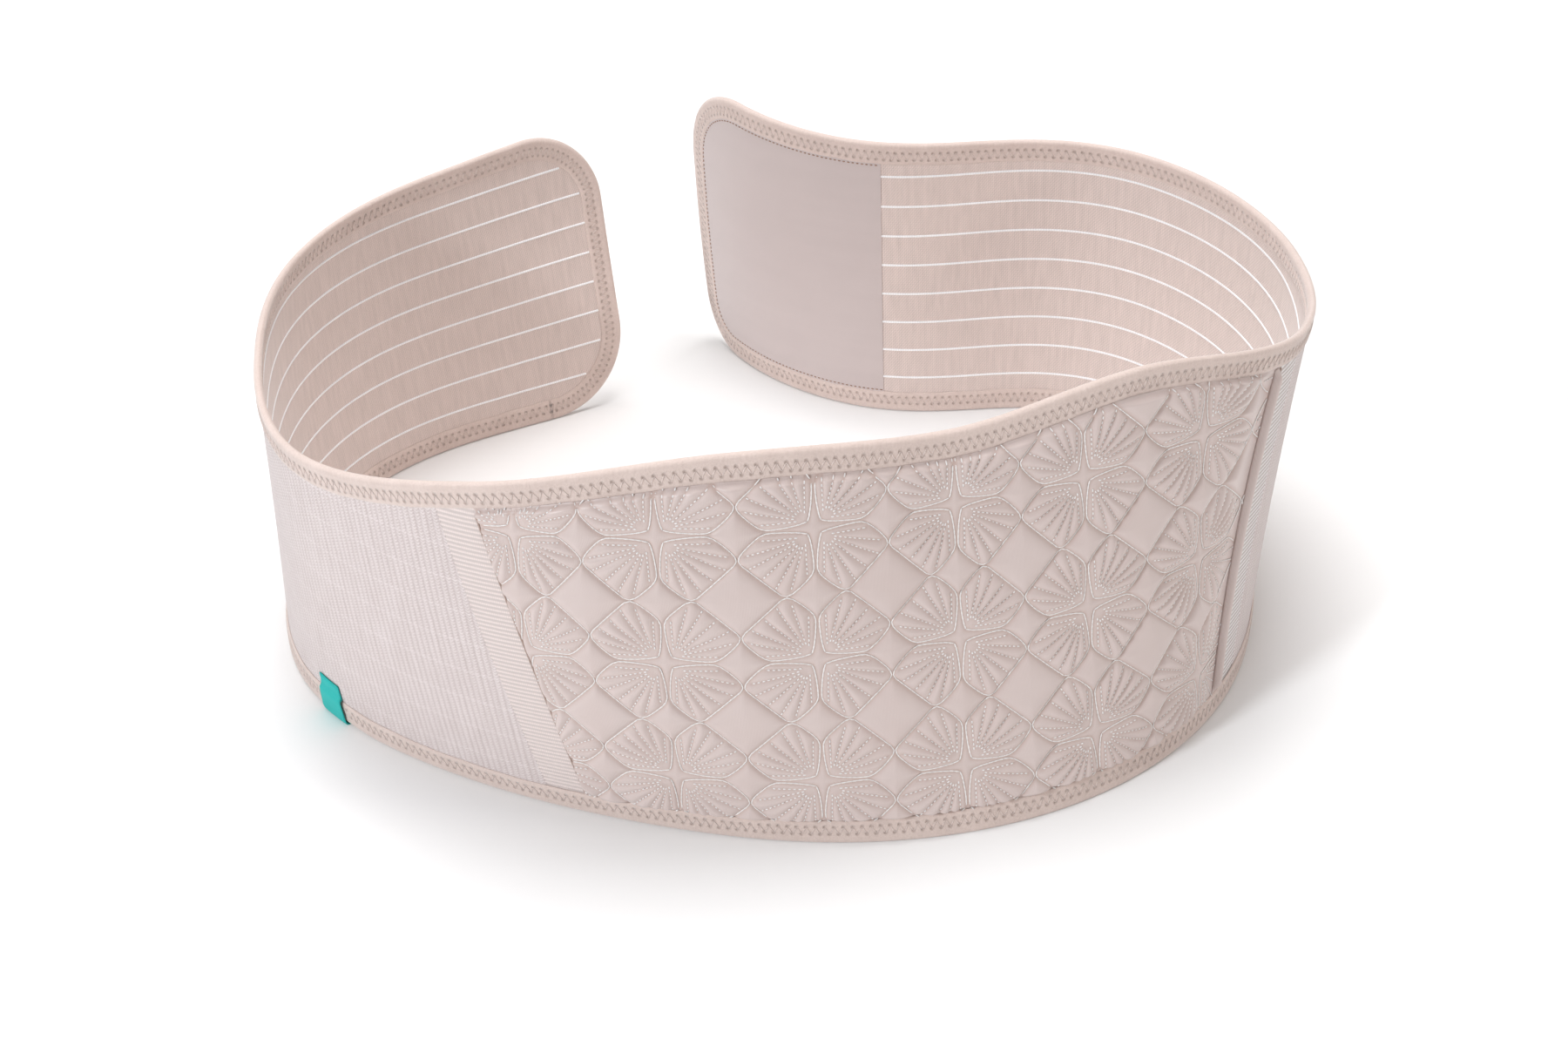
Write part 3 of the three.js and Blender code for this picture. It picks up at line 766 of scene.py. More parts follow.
def label_finish(colour):
    """Woven label tape: fine plain weave with a soft gloss."""
    def pattern(f):
        _, along, up = f.cloth_place()
        weave = f.times(f.ripple(along, 0.45 * MM), f.ripple(up, 0.45 * MM))
        return weave, scaled(colour, 0.88), scaled(colour, 1.12), weave, 0.4, 0.08 * MM
    return once("Label Cloth", colour, (0.6, 0.0, 0.2), pattern)


# Quilted panel

def fold_flower(across, above):
    """A place, counted in flowers, folded onto one half petal: its distances x and y from the nearest
    flower's middle, the larger first."""
    x, y = np.abs(across - np.round(across)), np.abs(above - np.round(above))
    return np.maximum(x, y), np.minimum(x, y)


def quilt_pull(along, up):
    """How far the stretched cloth carries the flowers inward near the left seam: the pull times
    up over the belt's height, eased in between two distances left of the panel's middle."""
    return QUILT_PULL * smoothstep(PANEL_MIDDLE - along, PULL_START, PULL_END) * up / BELT_HEIGHT


def flower_place(along, up):
    """A place on the cloth, counted in flowers from the first one."""
    return (along - quilt_pull(along, up) - FLOWER_FIRST) / QUILT_PITCH, (up - FLOWER_FOOT) / QUILT_PITCH


def line_distance(x, y, starts, ends):
    """The distance from each place to the nearest of some straight lines."""
    nearest = np.full(x.shape, np.inf)
    for (ax, ay), (bx, by) in zip(starts, ends):
        dx, dy = bx - ax, by - ay
        f = np.clip(((x - ax) * dx + (y - ay) * dy) / (dx * dx + dy * dy), 0, 1)
        nearest = np.minimum(nearest, np.hypot(x - ax - f * dx, y - ay - f * dy))
    return nearest


def quilt_lines(across, above):
    """Distances, counted in flowers, to the nearest outline and to the nearest ray of dashes of the
    petal that the place lies in, and whether it lies in the channel between two petals."""
    x, y = fold_flower(across, above)
    outline = line_distance(x, y, PETAL_HALF[:-1], PETAL_HALF[1:])
    rays = line_distance(x, y, [RAY_START] * len(RAY_ENDS), RAY_ENDS)
    flower = x + y < PETAL_HALF[-1].sum()
    side = PETAL_HALF[:PETAL_HALF[:, 0].argmax()]
    petal = flower & (y > np.interp(x, *side.T)) & (x < PETAL_HALF[:, 0].max())
    channel = flower & ~petal & (y > x - CHANNEL_REACH)
    return outline, np.where(petal, rays, np.inf), channel


def quilt_height(across, above):
    """The quilting's height from 0 to 1 at the distance d to the nearest outline: mostly a steep side
    1 - exp(-d / side) and a little of a broad dome 1 - exp(-d / dome), times 1 less the depth of a
    valley exp(-r / valley) at the distance r to a ray of dashes; the channels are a share as high."""
    outline, rays, channel = quilt_lines(across, above)
    side, dome = 1 - np.exp(-outline / PUFF_SIDE), 1 - np.exp(-outline / PUFF_DOME)
    puffed = (1 - DOME_SHARE) * side + DOME_SHARE * dome
    valley = VALLEY_DEPTH * np.exp(-rays / VALLEY)
    return np.where(channel, CHANNEL_HEIGHT * puffed, puffed * (1 - valley))


def painted_valley_shade(along, up):
    """Painted shade in the valley where the cloth is drawn into a stitched line, from 0 to 1:
    exp(-(d / w)^2) for the distance d to the line and its width w. On rays it is a little less, and it
    fades to nothing at the root, where they meet. The channels between petals get a faint painted shade."""
    place = flower_place(along, up)
    outline, rays, channel = quilt_lines(*place)
    drawn = np.exp(-(outline * QUILT_PITCH / OUTLINE_SHADE_WIDTH) ** 2)
    dashed = 0.8 * np.exp(-(rays * QUILT_PITCH / RAY_SHADE_WIDTH) ** 2)
    x, y = fold_flower(*place)
    root = 1 - np.exp(-(np.hypot(x - RAY_START[0], y - RAY_START[1]) / ROOT_SIZE) ** 2)
    # A faint painted shade over the channels between petals
    return np.maximum(drawn, dashed * root) + np.where(channel, 0.06, 0)


def panel_room(along, up):
    """Distances from a place on the panel to the binding and to the seam, or the roll beside it."""
    roll = np.where(along > PANEL_MIDDLE, ROLL_WIDTH, 0)
    return from_binding(along, up), panel_half(up) - np.abs(along - PANEL_MIDDLE) - roll


def panel_out(along, up, relief):
    """How far the quilted face stands out: the pad and its quilting, squeezed to nothing at the
    binding and the seams over the pad's shoulder."""
    from_edge, from_seam = panel_room(along, up)
    beside = np.where(along > PANEL_MIDDLE, SHOULDER_BESIDE_ROLL, PAD_SHOULDER)
    squeeze = smoothstep(from_edge - GAP, 0, PAD_SHOULDER) * smoothstep(from_seam / beside, 0, 1)
    height = quilt_height(*flower_place(along, up))
    return CLOTH_HALF + (PAD_THICK + relief * height) * squeeze


def on_panel(along, up):
    """True where a place lies on the quilted face: clear of the seams, and at most just under the
    binding."""
    from_edge, from_seam = panel_room(along, up)
    return (from_edge > -0.9 * MM) & (from_seam > 0.3 * MM)


def split_line(points, pitch, fill):
    """Starts and ends of even stitches along a line of points: each spacing is filled by a share, or
    by more than the whole where stitches overlap."""
    steps = np.linalg.norm(np.diff(points, axis=0), axis=1)
    travel = np.concatenate([[0], np.cumsum(steps)])
    count = max(int(round(travel[-1] / pitch)), 1)
    begin = np.arange(count) / count * travel[-1]
    ends = begin + fill * travel[-1] / count
    return [
        np.stack([np.interp(at, travel, column) for column in points.T], axis=-1)
        for at in (begin, ends)
    ]


def every_petal(starts, ends):
    """Copies of one petal's stitches on all the petals of all the flowers, as places on the cloth,
    with the pull near the left seam settled in rounds."""
    columns, rows = np.meshgrid(FLOWER_COLUMNS, FLOWER_ROWS)
    flowers = np.stack([columns.ravel(), rows.ravel()], axis=-1)
    turns = np.array(((1, 1), (-1, 1), (-1, -1), (1, -1)))
    origin = np.array((FLOWER_FIRST, FLOWER_FOOT))

    def place(p):
        square = (origin + QUILT_PITCH * (flowers[:, None, None] + turns[:, None] * p)).reshape(-1, 2)
        along, up = square.T
        for _ in range(ROUNDS):
            along = square[:, 0] + quilt_pull(along, up)
        return np.stack([along, up], axis=-1)

    return place(starts), place(ends)


def panel_threads(name, starts, ends, width, relief, finish):
    """Stitches laid on the quilted face, half sunk into it."""
    starts, ends = every_petal(starts, ends)
    keep = on_panel(*starts.T) & on_panel(*ends.T)

    def out(along, up):
        return panel_out(along, up, relief) + width * THREAD_LIFT

    declare(sewn(name, starts[keep], ends[keep], out, width, finish), "quilted_satin")


class BELT_OT_quilted_panel(bpy.types.Operator):
    """Makes the quilted front panel as a closed pad, with its lining"""
    bl_idname = "belt.quilted_panel"
    bl_label = "Quilted Panel"

    def execute(self, context):
        sizes, colours = context.scene.belt_sizes, context.scene.belt_colours
        columns = round(PANEL_TOP / sizes.grid_step / GRID_RATIO)
        rows = round(BELT_HEIGHT * 0.95 / sizes.grid_step / GRID_RATIO)
        (along, up), (back_along, back_up) = (
            cloth_grid(seam(-1), seam(1), CLOTH_INSET, even(columns * fine), even(rows * fine))
            for fine in (GRID_RATIO, 1)
        )
        outer = (along, up, panel_out(along, up, sizes.quilt_relief))
        swell = LINING_SWELL * smoothstep(from_binding(back_along, back_up) - GAP, 0, PAD_SHOULDER)
        inner = (back_along, back_up, -CLOTH_HALF - swell)
        finishes = [satin_finish(colours.satin), lining_finish(colours.elastic)]
        pad = closed_cloth("quilted_panel_pad", outer, inner, finishes)
        # Painted shade of the stitched valleys, kept on the quilted face's points for the satin
        drawn = np.zeros(len(pad.data.vertices), np.float32)
        drawn[:along.size] = np.clip(painted_valley_shade(along, up), 0, 1).ravel()
        pad.data.attributes.new("painted_stitch_shade", "FLOAT", "POINT").data.foreach_set("value", drawn)
        declare(pad, "quilted_satin", "quilted_panel")
        return {"FINISHED"}


class BELT_OT_quilt_stitches(bpy.types.Operator):
    """Makes the petals' outline stitches and the dashes on their rays"""
    bl_idname = "belt.quilt_stitches"
    bl_label = "Quilting Stitches"

    def execute(self, context):
        sizes, colours = context.scene.belt_sizes, context.scene.belt_colours
        dashed = thread_finish("Quilting Thread", colours.thread, 0.35)
        overlapped = thread_finish("Outline Thread", scaled(colours.thread, 0.95), 0.4)
        loop = np.concatenate([PETAL_HALF, PETAL_HALF[-2::-1, ::-1]])
        starts, ends = split_line(loop, sizes.outline_stitch / QUILT_PITCH, OUTLINE_FILL)
        look = (sizes.thread_width, sizes.quilt_relief)
        panel_threads("petal_outline_stitches", starts, ends, *look, overlapped)
        pitch = sizes.dash_pitch / QUILT_PITCH
        parts = [
            split_line(np.array([RAY_START + RAY_SKIP * (ray - RAY_START), ray]), pitch, DASH_FILL)
            for ray in np.concatenate([RAY_ENDS, RAY_ENDS[:-1, ::-1]])
        ]
        starts, ends = (np.concatenate(places) for places in zip(*parts))
        panel_threads("petal_ray_stitches", starts, ends, *look, dashed)
        return {"FINISHED"}


# Wings

def end_eased(steps):
    """Shares from 0 to 1 that are drawn closer together towards 0: f/4 + 3/4 f^2."""
    f = even(steps)
    return f * (0.25 + 0.75 * f)


def stripe_lines(name, left, right, width, finish):
    """The elastic lines inside a wing: a low rounded ridge carried along each level. Its section is
    half an ellipse, with its flat side in the cloth."""
    turn = np.linspace(0, np.pi, 7)[:, None]
    lift, rise = np.cos(turn) * width / 2, np.sin(turn) * width * 0.45
    share = np.linspace(0, 1, 260)
    room = np.linspace(0, BELT_LENGTH, 4000)
    low, high = lower_limit(room, TAPE_WIDTH), upper_limit(room, TAPE_WIDTH)
    points, places, faces = [], [], []
    for k in range(STRIPE_COUNT):
        level = STRIPE_FIRST + STRIPE_PITCH * k
        inside = room[(high > level + width) & (low < level - width)]
        start, end = max(left(level), inside.min()), min(right(level), inside.max())
        along = start + (end - start) * share + 0 * lift
        up = level + lift + 0 * along
        points.append(belt_point(along, up, STRIPE_SINK - CLOTH_HALF - rise).reshape(-1, 3))
        places.append(np.stack([along, up], axis=-1).reshape(-1, 2))
        numbers = np.arange(along.size).reshape(along.shape) + k * along.size
        faces.append(grid_faces(np.concatenate([numbers, numbers[:1]])))
    points, places, faces = (np.concatenate(parts) for parts in (points, places, faces))
    return add_piece(name, points, [faces], [finish], places)


class BELT_OT_wings(bpy.types.Operator):
    """Makes the two elastic wings, with the raised elastic lines inside them"""
    bl_idname = "belt.wings"
    bl_label = "Elastic Wings"

    def execute(self, context):
        sizes, colours = context.scene.belt_sizes, context.scene.belt_colours
        finishes = [loop_finish(colours.loop_knit), elastic_finish(colours.elastic)]
        line_finish = stripe_finish(colours.stripe)
        across, levels = end_eased(WING_GRID[0]), even(WING_GRID[1])
        band = BAND_WIDTH + HAIR
        left_cloth = (straight(CLOTH_INSET), seam(-1, -band), CLOTH_INSET, across)
        right_cloth = (seam(1, band), straight(BELT_LENGTH - CLOTH_INSET), CLOTH_INSET, 1 - across[::-1])
        left_lines = (straight(TAPE_WIDTH), seam(-1, -BAND_WIDTH))
        right_lines = (seam(1, BAND_WIDTH), straight(BELT_LENGTH - PATCH_LENGTH))
        for node, cloth, sides, lean in (("left_wing", left_cloth, left_lines, WALE_LEAN),
                                         ("right_wing", right_cloth, right_lines, -WALE_LEAN)):
            grid = cloth_grid(*cloth, levels)
            wing = closed_cloth(node + "_cloth", (*grid, CLOTH_HALF), (*grid, -CLOTH_HALF), finishes, lean)
            lines = stripe_lines(node + "_elastic_lines", *sides, sizes.stripe_width, line_finish)
            declare_stretched(wing, "elastic_knit", node)
            declare(lines, "elastic_knit")
        return {"FINISHED"}


# Bands over the seams

class BELT_OT_rib_bands(bpy.types.Operator):
    """Makes the ribbed bands over the two seams, with real ribs across them"""
    bl_idname = "belt.rib_bands"
    bl_label = "Ribbed Bands"

    def execute(self, context):
        sizes, colours = context.scene.belt_sizes, context.scene.belt_colours
        across, levels = (even(steps) for steps in BAND_GRID)
        # Both bands are one ribbed tape, given two tone pairs as light falls on each side: painted soft light
        # on the left band, pale and flat, and painted shade on the right band, a darker ground between its
        # ribs
        soft = (scaled(colours.band, 0.88), scaled(colours.band, 1.2))
        bold = (scaled(colours.band, 0.76), scaled(colours.stripe, 0.97))
        for node, side, tones in (("left_rib_band", -1, soft), ("right_rib_band", 1, bold)):
            outside = band_finish(node.replace("_", " ").title(), *tones, sizes.rib_pitch)
            left, right = sorted((side * 0.1 * MM, side * BAND_WIDTH))
            grid = cloth_grid(seam(side, left), seam(side, right), CLOTH_INSET, across, levels)
            rib = 0.5 + 0.5 * np.sin(2 * np.pi * (grid[1] / sizes.rib_pitch + 0.25))
            clear = smoothstep(from_binding(*grid) - GAP, 0, 2 * MM)
            outer = CLOTH_HALF - BAND_SINK + RIB_RISE * rib * clear
            finishes = [outside, lining_finish(colours.elastic)]
            band = closed_cloth(node + "_tape", (*grid, outer), (*grid, -CLOTH_HALF), finishes)
            declare_stretched(band, "ribbed_tape", node)
        return {"FINISHED"}


def rolled_seam(name, side, finish):
    """A rolled edge beside a seam, on the panel's side: half an ellipse carried up along the seam,
    with its flat side in the cloth, that sinks to nothing as it nears the binding."""
    up = np.linspace(TAPE_WIDTH, BELT_HEIGHT, 240)
    top = cloth_height(seam(side)(up)) - TAPE_WIDTH
    up = np.linspace(TAPE_WIDTH, up[up < top].max(), 240)[:, None]
    turn = np.linspace(np.pi, 0, 13)
    along = seam(side, -side * ROLL_WIDTH * 0.6)(up) + ROLL_WIDTH / 2 * np.cos(turn)
    up = up + 0 * along
    sunk = smoothstep(from_binding(along, up), -0.5 * MM, 5 * MM)
    out = CLOTH_HALF + 0.1 * MM + ROLL_HEIGHT * np.sin(turn) * sunk
    return closed_tube(name, along, up, out, finish, np.stack([along, up], axis=-1))


class BELT_OT_seam_stitches(bpy.types.Operator):
    """Makes the seam stitching beside the panel, dark brown partly with painted shade of the seam, and the
    rolled edge along its right seam
    """
    bl_idname = "belt.seam_stitches"
    bl_label = "Seam Stitching"

    def execute(self, context):
        colours = context.scene.belt_colours
        line = np.array([(0, TAPE_WIDTH), (0, BELT_HEIGHT)])
        low, high = (places[:, 1] for places in split_line(line, SEAM_STITCH, SEAM_FILL))
        pairs = []
        for side in (-1, 1):
            keep = high < cloth_height(seam(side)(high)) - TAPE_WIDTH
            pairs.append([np.stack([seam(side)(up), up], axis=-1) for up in (low[keep], high[keep])])
        starts, ends = (np.concatenate(places) for places in zip(*pairs))
        # The seam thread's brown is partly its own colour and partly painted shade along the seam's gap
        finish = thread_finish("Seam Thread", SEAM_BROWN_AND_SHADE, 0.7)
        stitches = sewn("seam_stitches", starts, ends, lambda *_: CLOTH_HALF + SEAM_LIFT, SEAM_THREAD, finish)
        declare(stitches, "binding_tape")
        roll = rolled_seam("right_seam_roll", 1, satin_finish(colours.satin))
        declare(roll, "quilted_satin")
        return {"FINISHED"}


# Binding

def edge_loop():
    """The belt's edge as one closed line: the lower edge from left to right, round the right end, the
    upper edge back and round the left end. Each point has the inward direction square to the edge."""
    def stretch(start, end, height_at, inward):
        along = np.linspace(start, end, max(int(abs(end - start) / EDGE_STEP), 2))
        rise = (height_at(along + MM) - height_at(along - MM)) / (2 * MM)
        from_ends = np.minimum(np.abs(along - start), np.abs(along - end))
        slope = rise * smoothstep(from_ends, 0, 15 * MM)
        length = np.hypot(slope, 1)
        return np.stack([along, height_at(along), -inward * slope / length, inward / length], axis=-1)

    def corner(side, centre_up, radius, from_angle, to_angle):
        angle = np.radians(np.linspace(from_angle, to_angle, max(int(radius * np.pi / 2 / EDGE_STEP), 8)))
        end = 0 if side < 0 else BELT_LENGTH
        cos, sin = np.cos(angle), np.sin(angle)
        along, up = end - side * (radius - radius * cos), centre_up + radius * sin
        return np.stack([along, up, -side * cos, -sin], axis=-1)

    def upright(side, low, high):
        up = np.linspace(low, high, max(int(abs(high - low) / EDGE_STEP), 2))
        end = 0 if side < 0 else BELT_LENGTH
        return np.stack([end + 0 * up, up, -side + 0 * up, 0 * up], axis=-1)

    right_top, left_top = top_edge(BELT_LENGTH) - RIGHT_UPPER, top_edge(0) - LEFT_UPPER
    runs = (
        stretch(LEFT_LOWER, BELT_LENGTH - RIGHT_LOWER, foot_rise, 1),
        corner(1, RIGHT_LOWER, RIGHT_LOWER, -90, 0),
        upright(1, RIGHT_LOWER, right_top),
        corner(1, right_top, RIGHT_UPPER, 0, 90),
        stretch(BELT_LENGTH - RIGHT_UPPER, LEFT_UPPER, top_edge, -1),
        corner(-1, left_top, LEFT_UPPER, 90, 0),
        upright(-1, left_top, LEFT_LOWER),
        corner(-1, LEFT_LOWER, LEFT_LOWER, 0, -90),
    )
    return np.concatenate([run[1:] for run in runs])


def tape_section():
    """The tape's section as depth from the edge and out: two soft legs, pressed in a little by the
    stitches, round a half-circle fold, and the slot that holds the cloth. The third column is the
    distance over the tape from the crest of the fold, negative on the inner side."""
    leg_depth = np.array((10, 9.96, 9.7, 9, 7.8, 6.5, 4.8, 3, 2.2, 1.55)) * MM
    leg_out = np.array((0.66, 0.82, 1.05, 1.28, 1.42, 1.34, 1.32, 1.4, 1.54, 1.55)) * MM
    turn = np.radians(np.linspace(90, -90, 11))[1:-1]
    nose = np.stack([1 - np.cos(turn), np.sin(turn), turn], axis=-1) * SOFT_HALF
    outer = np.stack([leg_depth, leg_out, leg_depth], axis=-1)
    inner = np.stack([leg_depth, -leg_out, -leg_depth], axis=-1)[::-1]
    slot = np.array(((9.6, -0.62, -9.6), (1, -0.62, -1), (1, 0.62, 1), (9.6, 0.62, 9.6))) * MM
    return np.concatenate([outer, nose, inner, slot])


def travel_of(loop):
    """The distance run along the closed edge line at each of its points, and its whole length."""
    steps = np.hypot(*(np.roll(loop, -1, axis=0) - loop)[:, :2].T)
    return np.concatenate([[0], np.cumsum(steps)[:-1]]), float(steps.sum())


class BELT_OT_binding(bpy.types.Operator):
    """Makes the binding tape folded round the whole edge"""
    bl_idname = "belt.binding"
    bl_label = "Binding"

    def execute(self, context):
        sizes, colours = context.scene.belt_sizes, context.scene.belt_colours
        loop, section = edge_loop(), tape_section()
        travel, length = travel_of(loop)
        pitch = length / round(length / sizes.zigzag_pitch)
        waver = sum(
            rise * np.sin(2 * np.pi * waves * travel / length + turn)
            for rise, waves, turn in EDGE_WAVES
        )
        depth = section[:, 0] + waver[:, None] * (section[:, 0] > 7 * MM)
        along = loop[:, 0:1] + loop[:, 2:3] * depth
        up = loop[:, 1:2] + loop[:, 3:4] * depth
        points = belt_point(along, up, section[:, 1] + 0 * along)
        places = np.stack([travel[:, None] + 0 * along, section[:, 2] + 0 * along], axis=-1)
        numbers = np.arange(along.size).reshape(along.shape)
        faces = grid_faces(np.pad(numbers, (0, 1), mode="wrap"))
        tape = add_piece("binding_tape_fold", points, [faces], [tape_finish(colours.tape, pitch)], places)
        declare(tape, "binding_tape", "top_binding_left", "top_binding_right", "bottom_binding_left",
                "bottom_binding_right", "left_end_binding", "right_end_binding")
        return {"FINISHED"}


class BELT_OT_zigzag(bpy.types.Operator):
    """Makes the zigzag stitching on both sides of the binding"""
    bl_idname = "belt.zigzag"
    bl_label = "Zigzag Stitching"

    def execute(self, context):
        sizes, colours = context.scene.belt_sizes, context.scene.belt_colours
        loop = edge_loop()
        travel, length = travel_of(loop)
        count = round(length / sizes.zigzag_pitch)
        closed = np.concatenate([loop, loop[:1]])
        run = np.concatenate([travel, [length]])
        turns = np.arange(2 * count + 1) / (2 * count) * length
        depth = np.where(np.arange(2 * count + 1) % 2 == 0, ZIGZAG_NEAR, ZIGZAG_FAR)
        along, up, in_along, in_up = (np.interp(turns, run, closed[:, k]) for k in range(4))
        keep = np.hypot(along[:-1] - LABEL_MIDDLE, up[:-1]) > LABEL_WIDTH / 2
        finish = thread_finish("Binding Thread", scaled(colours.tape, 1.0), 0.8)
        for name, side in (("zigzag_stitches_outside", 1), ("zigzag_stitches_inside", -1)):
            points = belt_point(along + in_along * depth, up + in_up * depth, side * ZIGZAG_OUT)
            starts, ends, out = points[:-1][keep], points[1:][keep], outward(along)[:-1][keep] * side
            stitches = threads(name, starts, ends, out, ZIGZAG_THREAD, finish)
            declare(stitches, "binding_tape")
        return {"FINISHED"}


# Hook patch and label

class BELT_OT_hook_patch(bpy.types.Operator):
    """Makes the hook patch inside the right end, with its stitched border"""
    bl_idname = "belt.hook_patch"
    bl_label = "Hook Patch"

    def execute(self, context):
        colours = context.scene.belt_colours
        inset = TAPE_WIDTH - PATCH_TUCK
        sides = (straight(BELT_LENGTH - PATCH_LENGTH), straight(BELT_LENGTH - inset))
        grid = cloth_grid(*sides, inset, 1 - end_eased(PATCH_GRID[0])[::-1], even(PATCH_GRID[1]))
        near = -CLOTH_HALF - HAIR
        far = near - PATCH_THICK
        patch = closed_cloth("hook_patch_tape", (*grid, near), (*grid, far), [hook_finish(colours.hook)])
        declare_stretched(patch, "hook_tape", "hook_patch")
        loop = edge_loop()
        border = loop[:, :2] + loop[:, 2:] * (TAPE_WIDTH + 0.7 * MM)
        border = border[loop[:, 0] > BELT_LENGTH - PATCH_LENGTH]
        finish = thread_finish("Patch Thread", PATCH_BROWN, 0.6)
        stitches = sewn("hook_patch_stitches", *split_line(border, PATCH_STITCH, DASH_FILL),
                        lambda *_: far - 0.05 * MM, PATCH_THREAD, finish, side=-1)
        declare(stitches, "binding_tape")
        return {"FINISHED"}


def label_section():
    """The label's outside and inside, as height over the belt's foot and out: from the top of its
    front leg over the tape's border and down to the fold, then up the short back leg."""
    wall, clear, knee, lap = LABEL_WALL, TAPE_HALF + GAP, TAPE_WIDTH + GAP, CLOTH_HALF + GAP
    face = clear + wall
    outside = [
        (LABEL_HEIGHT, lap + wall), (14 * MM, lap + wall), (12.4 * MM, lap + wall + 0.2 * MM),
        (knee + wall, face - 0.1 * MM), (9 * MM, face), (2 * MM, face), (-0.2 * MM, face - 0.5 * MM),
        (-LABEL_LIFT, clear - 0.9 * MM), (-LABEL_LIFT, 0.9 * MM - clear), (-0.2 * MM, 0.5 * MM - face),
        (2 * MM, -face), (LABEL_BACK, -face),
    ]
    inside = [
        (LABEL_BACK, -clear), (1 * MM, -clear), (-GAP, 0.8 * MM - clear), (-GAP, clear - 0.8 * MM),
        (1 * MM, clear), (knee, clear), (knee + wall + GAP, lap), (LABEL_HEIGHT, lap),
    ]
    return np.array(outside), np.array(inside)


class BELT_OT_label(bpy.types.Operator):
    """Makes the blank label folded round the lower edge of the left wing"""
    bl_idname = "belt.label"
    bl_label = "Label"

    def execute(self, context):
        outside, inside = label_section()
        section = np.concatenate([outside, inside])
        run = np.concatenate([[0], np.cumsum(np.hypot(*np.diff(section, axis=0).T))])
        level = np.clip(section[:, 0] / LABEL_HEIGHT, 0, 1)
        trim = LABEL_TRIM_FOOT + (LABEL_TRIM_TOP - LABEL_TRIM_FOOT) * level
        widths = LABEL_WIDTH - trim
        along = LABEL_MIDDLE - LABEL_WIDTH / 2 + widths * even(16)[:, None]
        up = foot_rise(along) + section[:, 0]
        places = np.stack([along, run + 0 * along], axis=-1)
        finish = label_finish(context.scene.belt_colours.label)
        label = closed_tube("label_tab_cloth", along, up, section[:, 1] + 0 * along, finish, places)
        widths, length = widths[:len(outside)], run[:len(outside)]
        declare(label, "label_cloth", "label_tab")
        return {"FINISHED"}


# Stage

def area_light(name, place, target, size, power, colour):
    """A square light at a place, turned towards its target."""
    light = bpy.data.lights.new(name, "AREA")
    light.shape, light.size, light.energy, light.color = "SQUARE", size, power, colour
    lamp = bpy.data.objects.new(name, light)
    aim = Vector(target) - Vector(place)
    lamp.matrix_world = Matrix.Translation(place) @ aim.to_track_quat("-Z", "Y").to_matrix().to_4x4()
    bpy.context.scene.collection.objects.link(lamp)


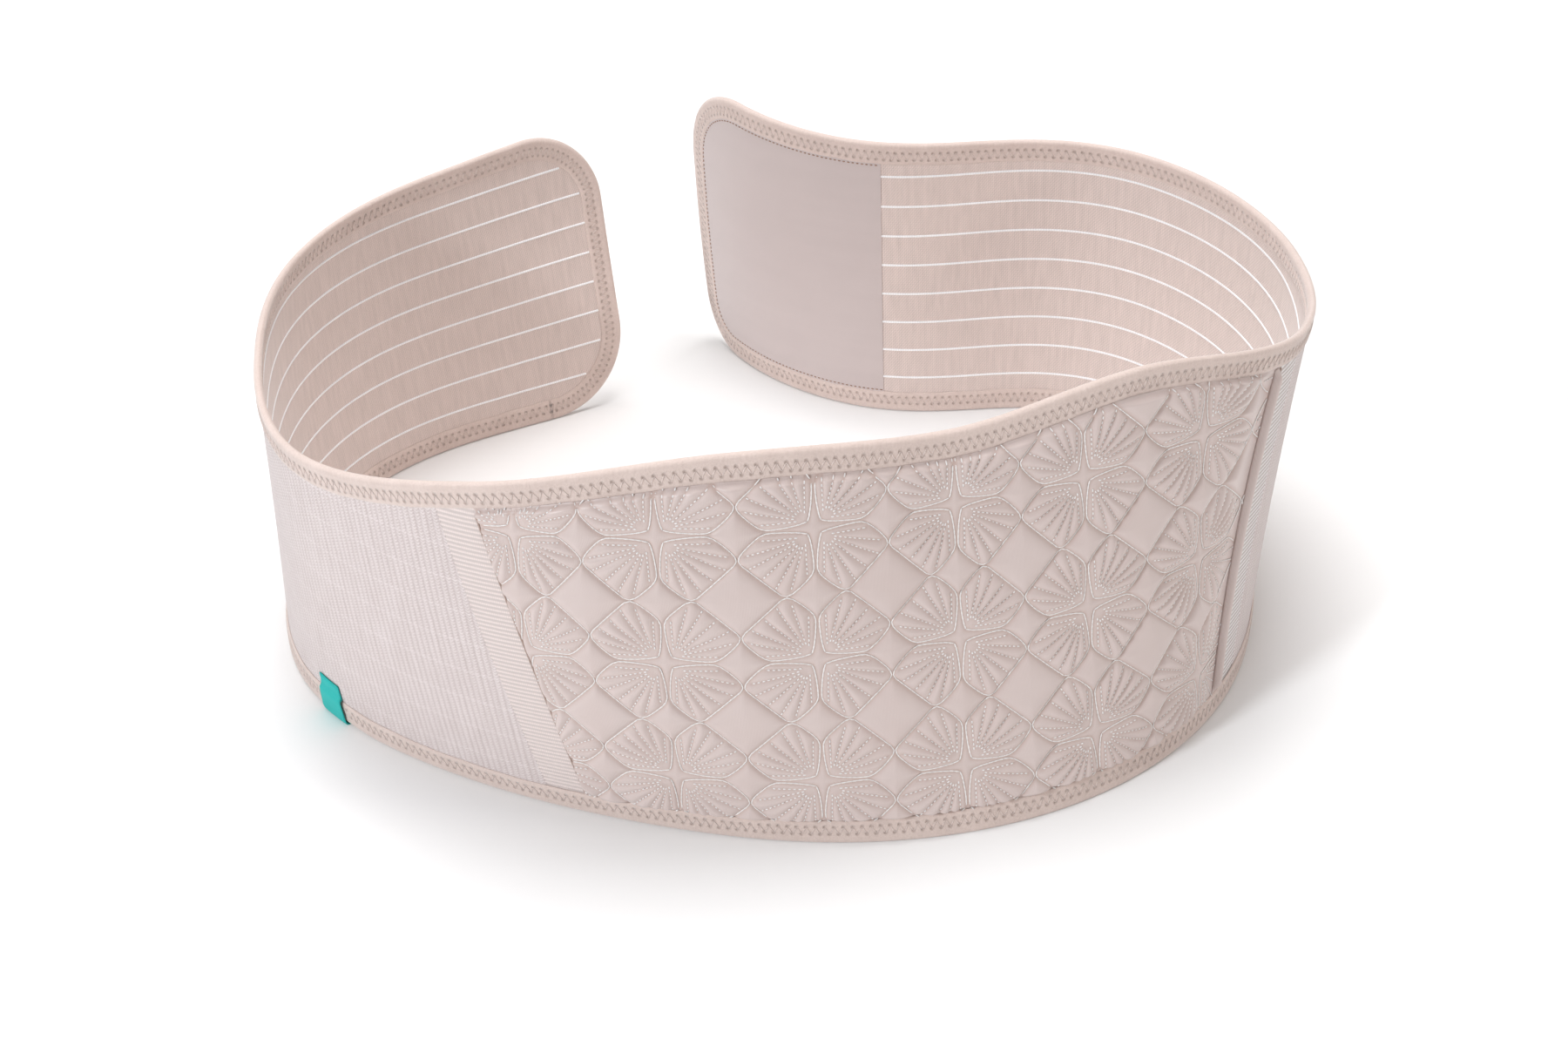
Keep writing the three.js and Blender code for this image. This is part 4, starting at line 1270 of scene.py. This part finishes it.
class BELT_OT_stage(bpy.types.Operator):
    """Makes the pale floor, the soft studio light and the camera"""
    bl_idname = "belt.stage"
    bl_label = "Studio Stage"

    def execute(self, context):
        scene, colour = context.scene, context.scene.belt_colours.floor
        mesh = bpy.data.meshes.new("studio_floor")
        corners = [(x * FLOOR_HALF, y * FLOOR_HALF, 0) for x, y in ((-1, -1), (1, -1), (1, 1), (-1, 1))]
        mesh.from_pydata(corners, [], [(0, 1, 2, 3)])
        floor = bpy.data.objects.new("studio_floor", mesh)
        scene.collection.objects.link(floor)
        finish = Finish("Studio Floor", colour, 0.9, 0.0, 0.1)
        grain = finish.noise(finish.object_place(), 30)
        finish.colour_between(grain, scaled(colour, 0.995), scaled(colour, 1.005))
        mesh.materials.append(finish.material)

        world = bpy.data.worlds.new("Studio")
        scene.world = world
        world.use_nodes = True
        sky = world.node_tree.nodes["Background"]
        sky.inputs["Color"].default_value = (*WORLD_COLOUR, 1)
        sky.inputs["Strength"].default_value = WORLD_STRENGTH
        for name, light in LIGHTS.items():
            area_light(name, *light)
        scene.view_settings.view_transform = "Standard"
        scene.view_settings.look = "None"

        tilt, roll = math.radians(VIEW_TILT), math.radians(VIEW_ROLL)
        ahead = np.array((0, math.cos(tilt), -math.sin(tilt)))
        level, above = np.array((1.0, 0, 0)), np.array((0, math.sin(tilt), math.cos(tilt)))
        right = math.cos(roll) * level - math.sin(roll) * above
        upward = math.sin(roll) * level + math.cos(roll) * above
        pivot = VIEW_PIVOT + np.array((*SHIFT, 0))
        axes = Matrix(np.stack([right, upward, -ahead], axis=1).tolist()).to_4x4()
        view = bpy.data.cameras.new("photo_view")
        view.sensor_fit, view.sensor_width, view.lens = "HORIZONTAL", VIEW_WIDTH, VIEW_LENS
        view.clip_start, view.clip_end = 0.01, 20
        camera = bpy.data.objects.new("photo_view", view)
        camera.matrix_world = Matrix.Translation(pivot - ahead * VIEW_DISTANCE) @ axes
        scene.collection.objects.link(camera)
        scene.camera = camera
        return {"FINISHED"}


OPERATORS = (
    BELT_OT_stage, BELT_OT_quilted_panel, BELT_OT_quilt_stitches, BELT_OT_wings, BELT_OT_rib_bands,
    BELT_OT_seam_stitches, BELT_OT_binding, BELT_OT_zigzag, BELT_OT_hook_patch, BELT_OT_label,
)


class BELT_PT_sidebar(bpy.types.Panel):
    bl_idname = "BELT_PT_sidebar"
    bl_label = "Support Belt"
    bl_space_type = "VIEW_3D"
    bl_region_type = "UI"
    bl_category = "Support Belt"

    def draw(self, context):
        for group in (context.scene.belt_sizes, context.scene.belt_colours):
            box = self.layout.box()
            for name in group.__annotations__:
                box.prop(group, name)
        for operator in OPERATORS:
            self.layout.operator(operator.bl_idname)


CLASSES = (BeltSizes, BeltColours, *OPERATORS, BELT_PT_sidebar)


def register():
    for cls in CLASSES:
        bpy.utils.register_class(cls)
    bpy.types.Scene.belt_sizes = PointerProperty(type=BeltSizes)
    bpy.types.Scene.belt_colours = PointerProperty(type=BeltColours)


def unregister():
    del bpy.types.Scene.belt_colours
    del bpy.types.Scene.belt_sizes
    for cls in reversed(CLASSES):
        bpy.utils.unregister_class(cls)


def main():
    register()
    for operator in OPERATORS:
        group, name = operator.bl_idname.split(".")
        getattr(getattr(bpy.ops, group), name)()


if __name__ == "__main__":
    main()
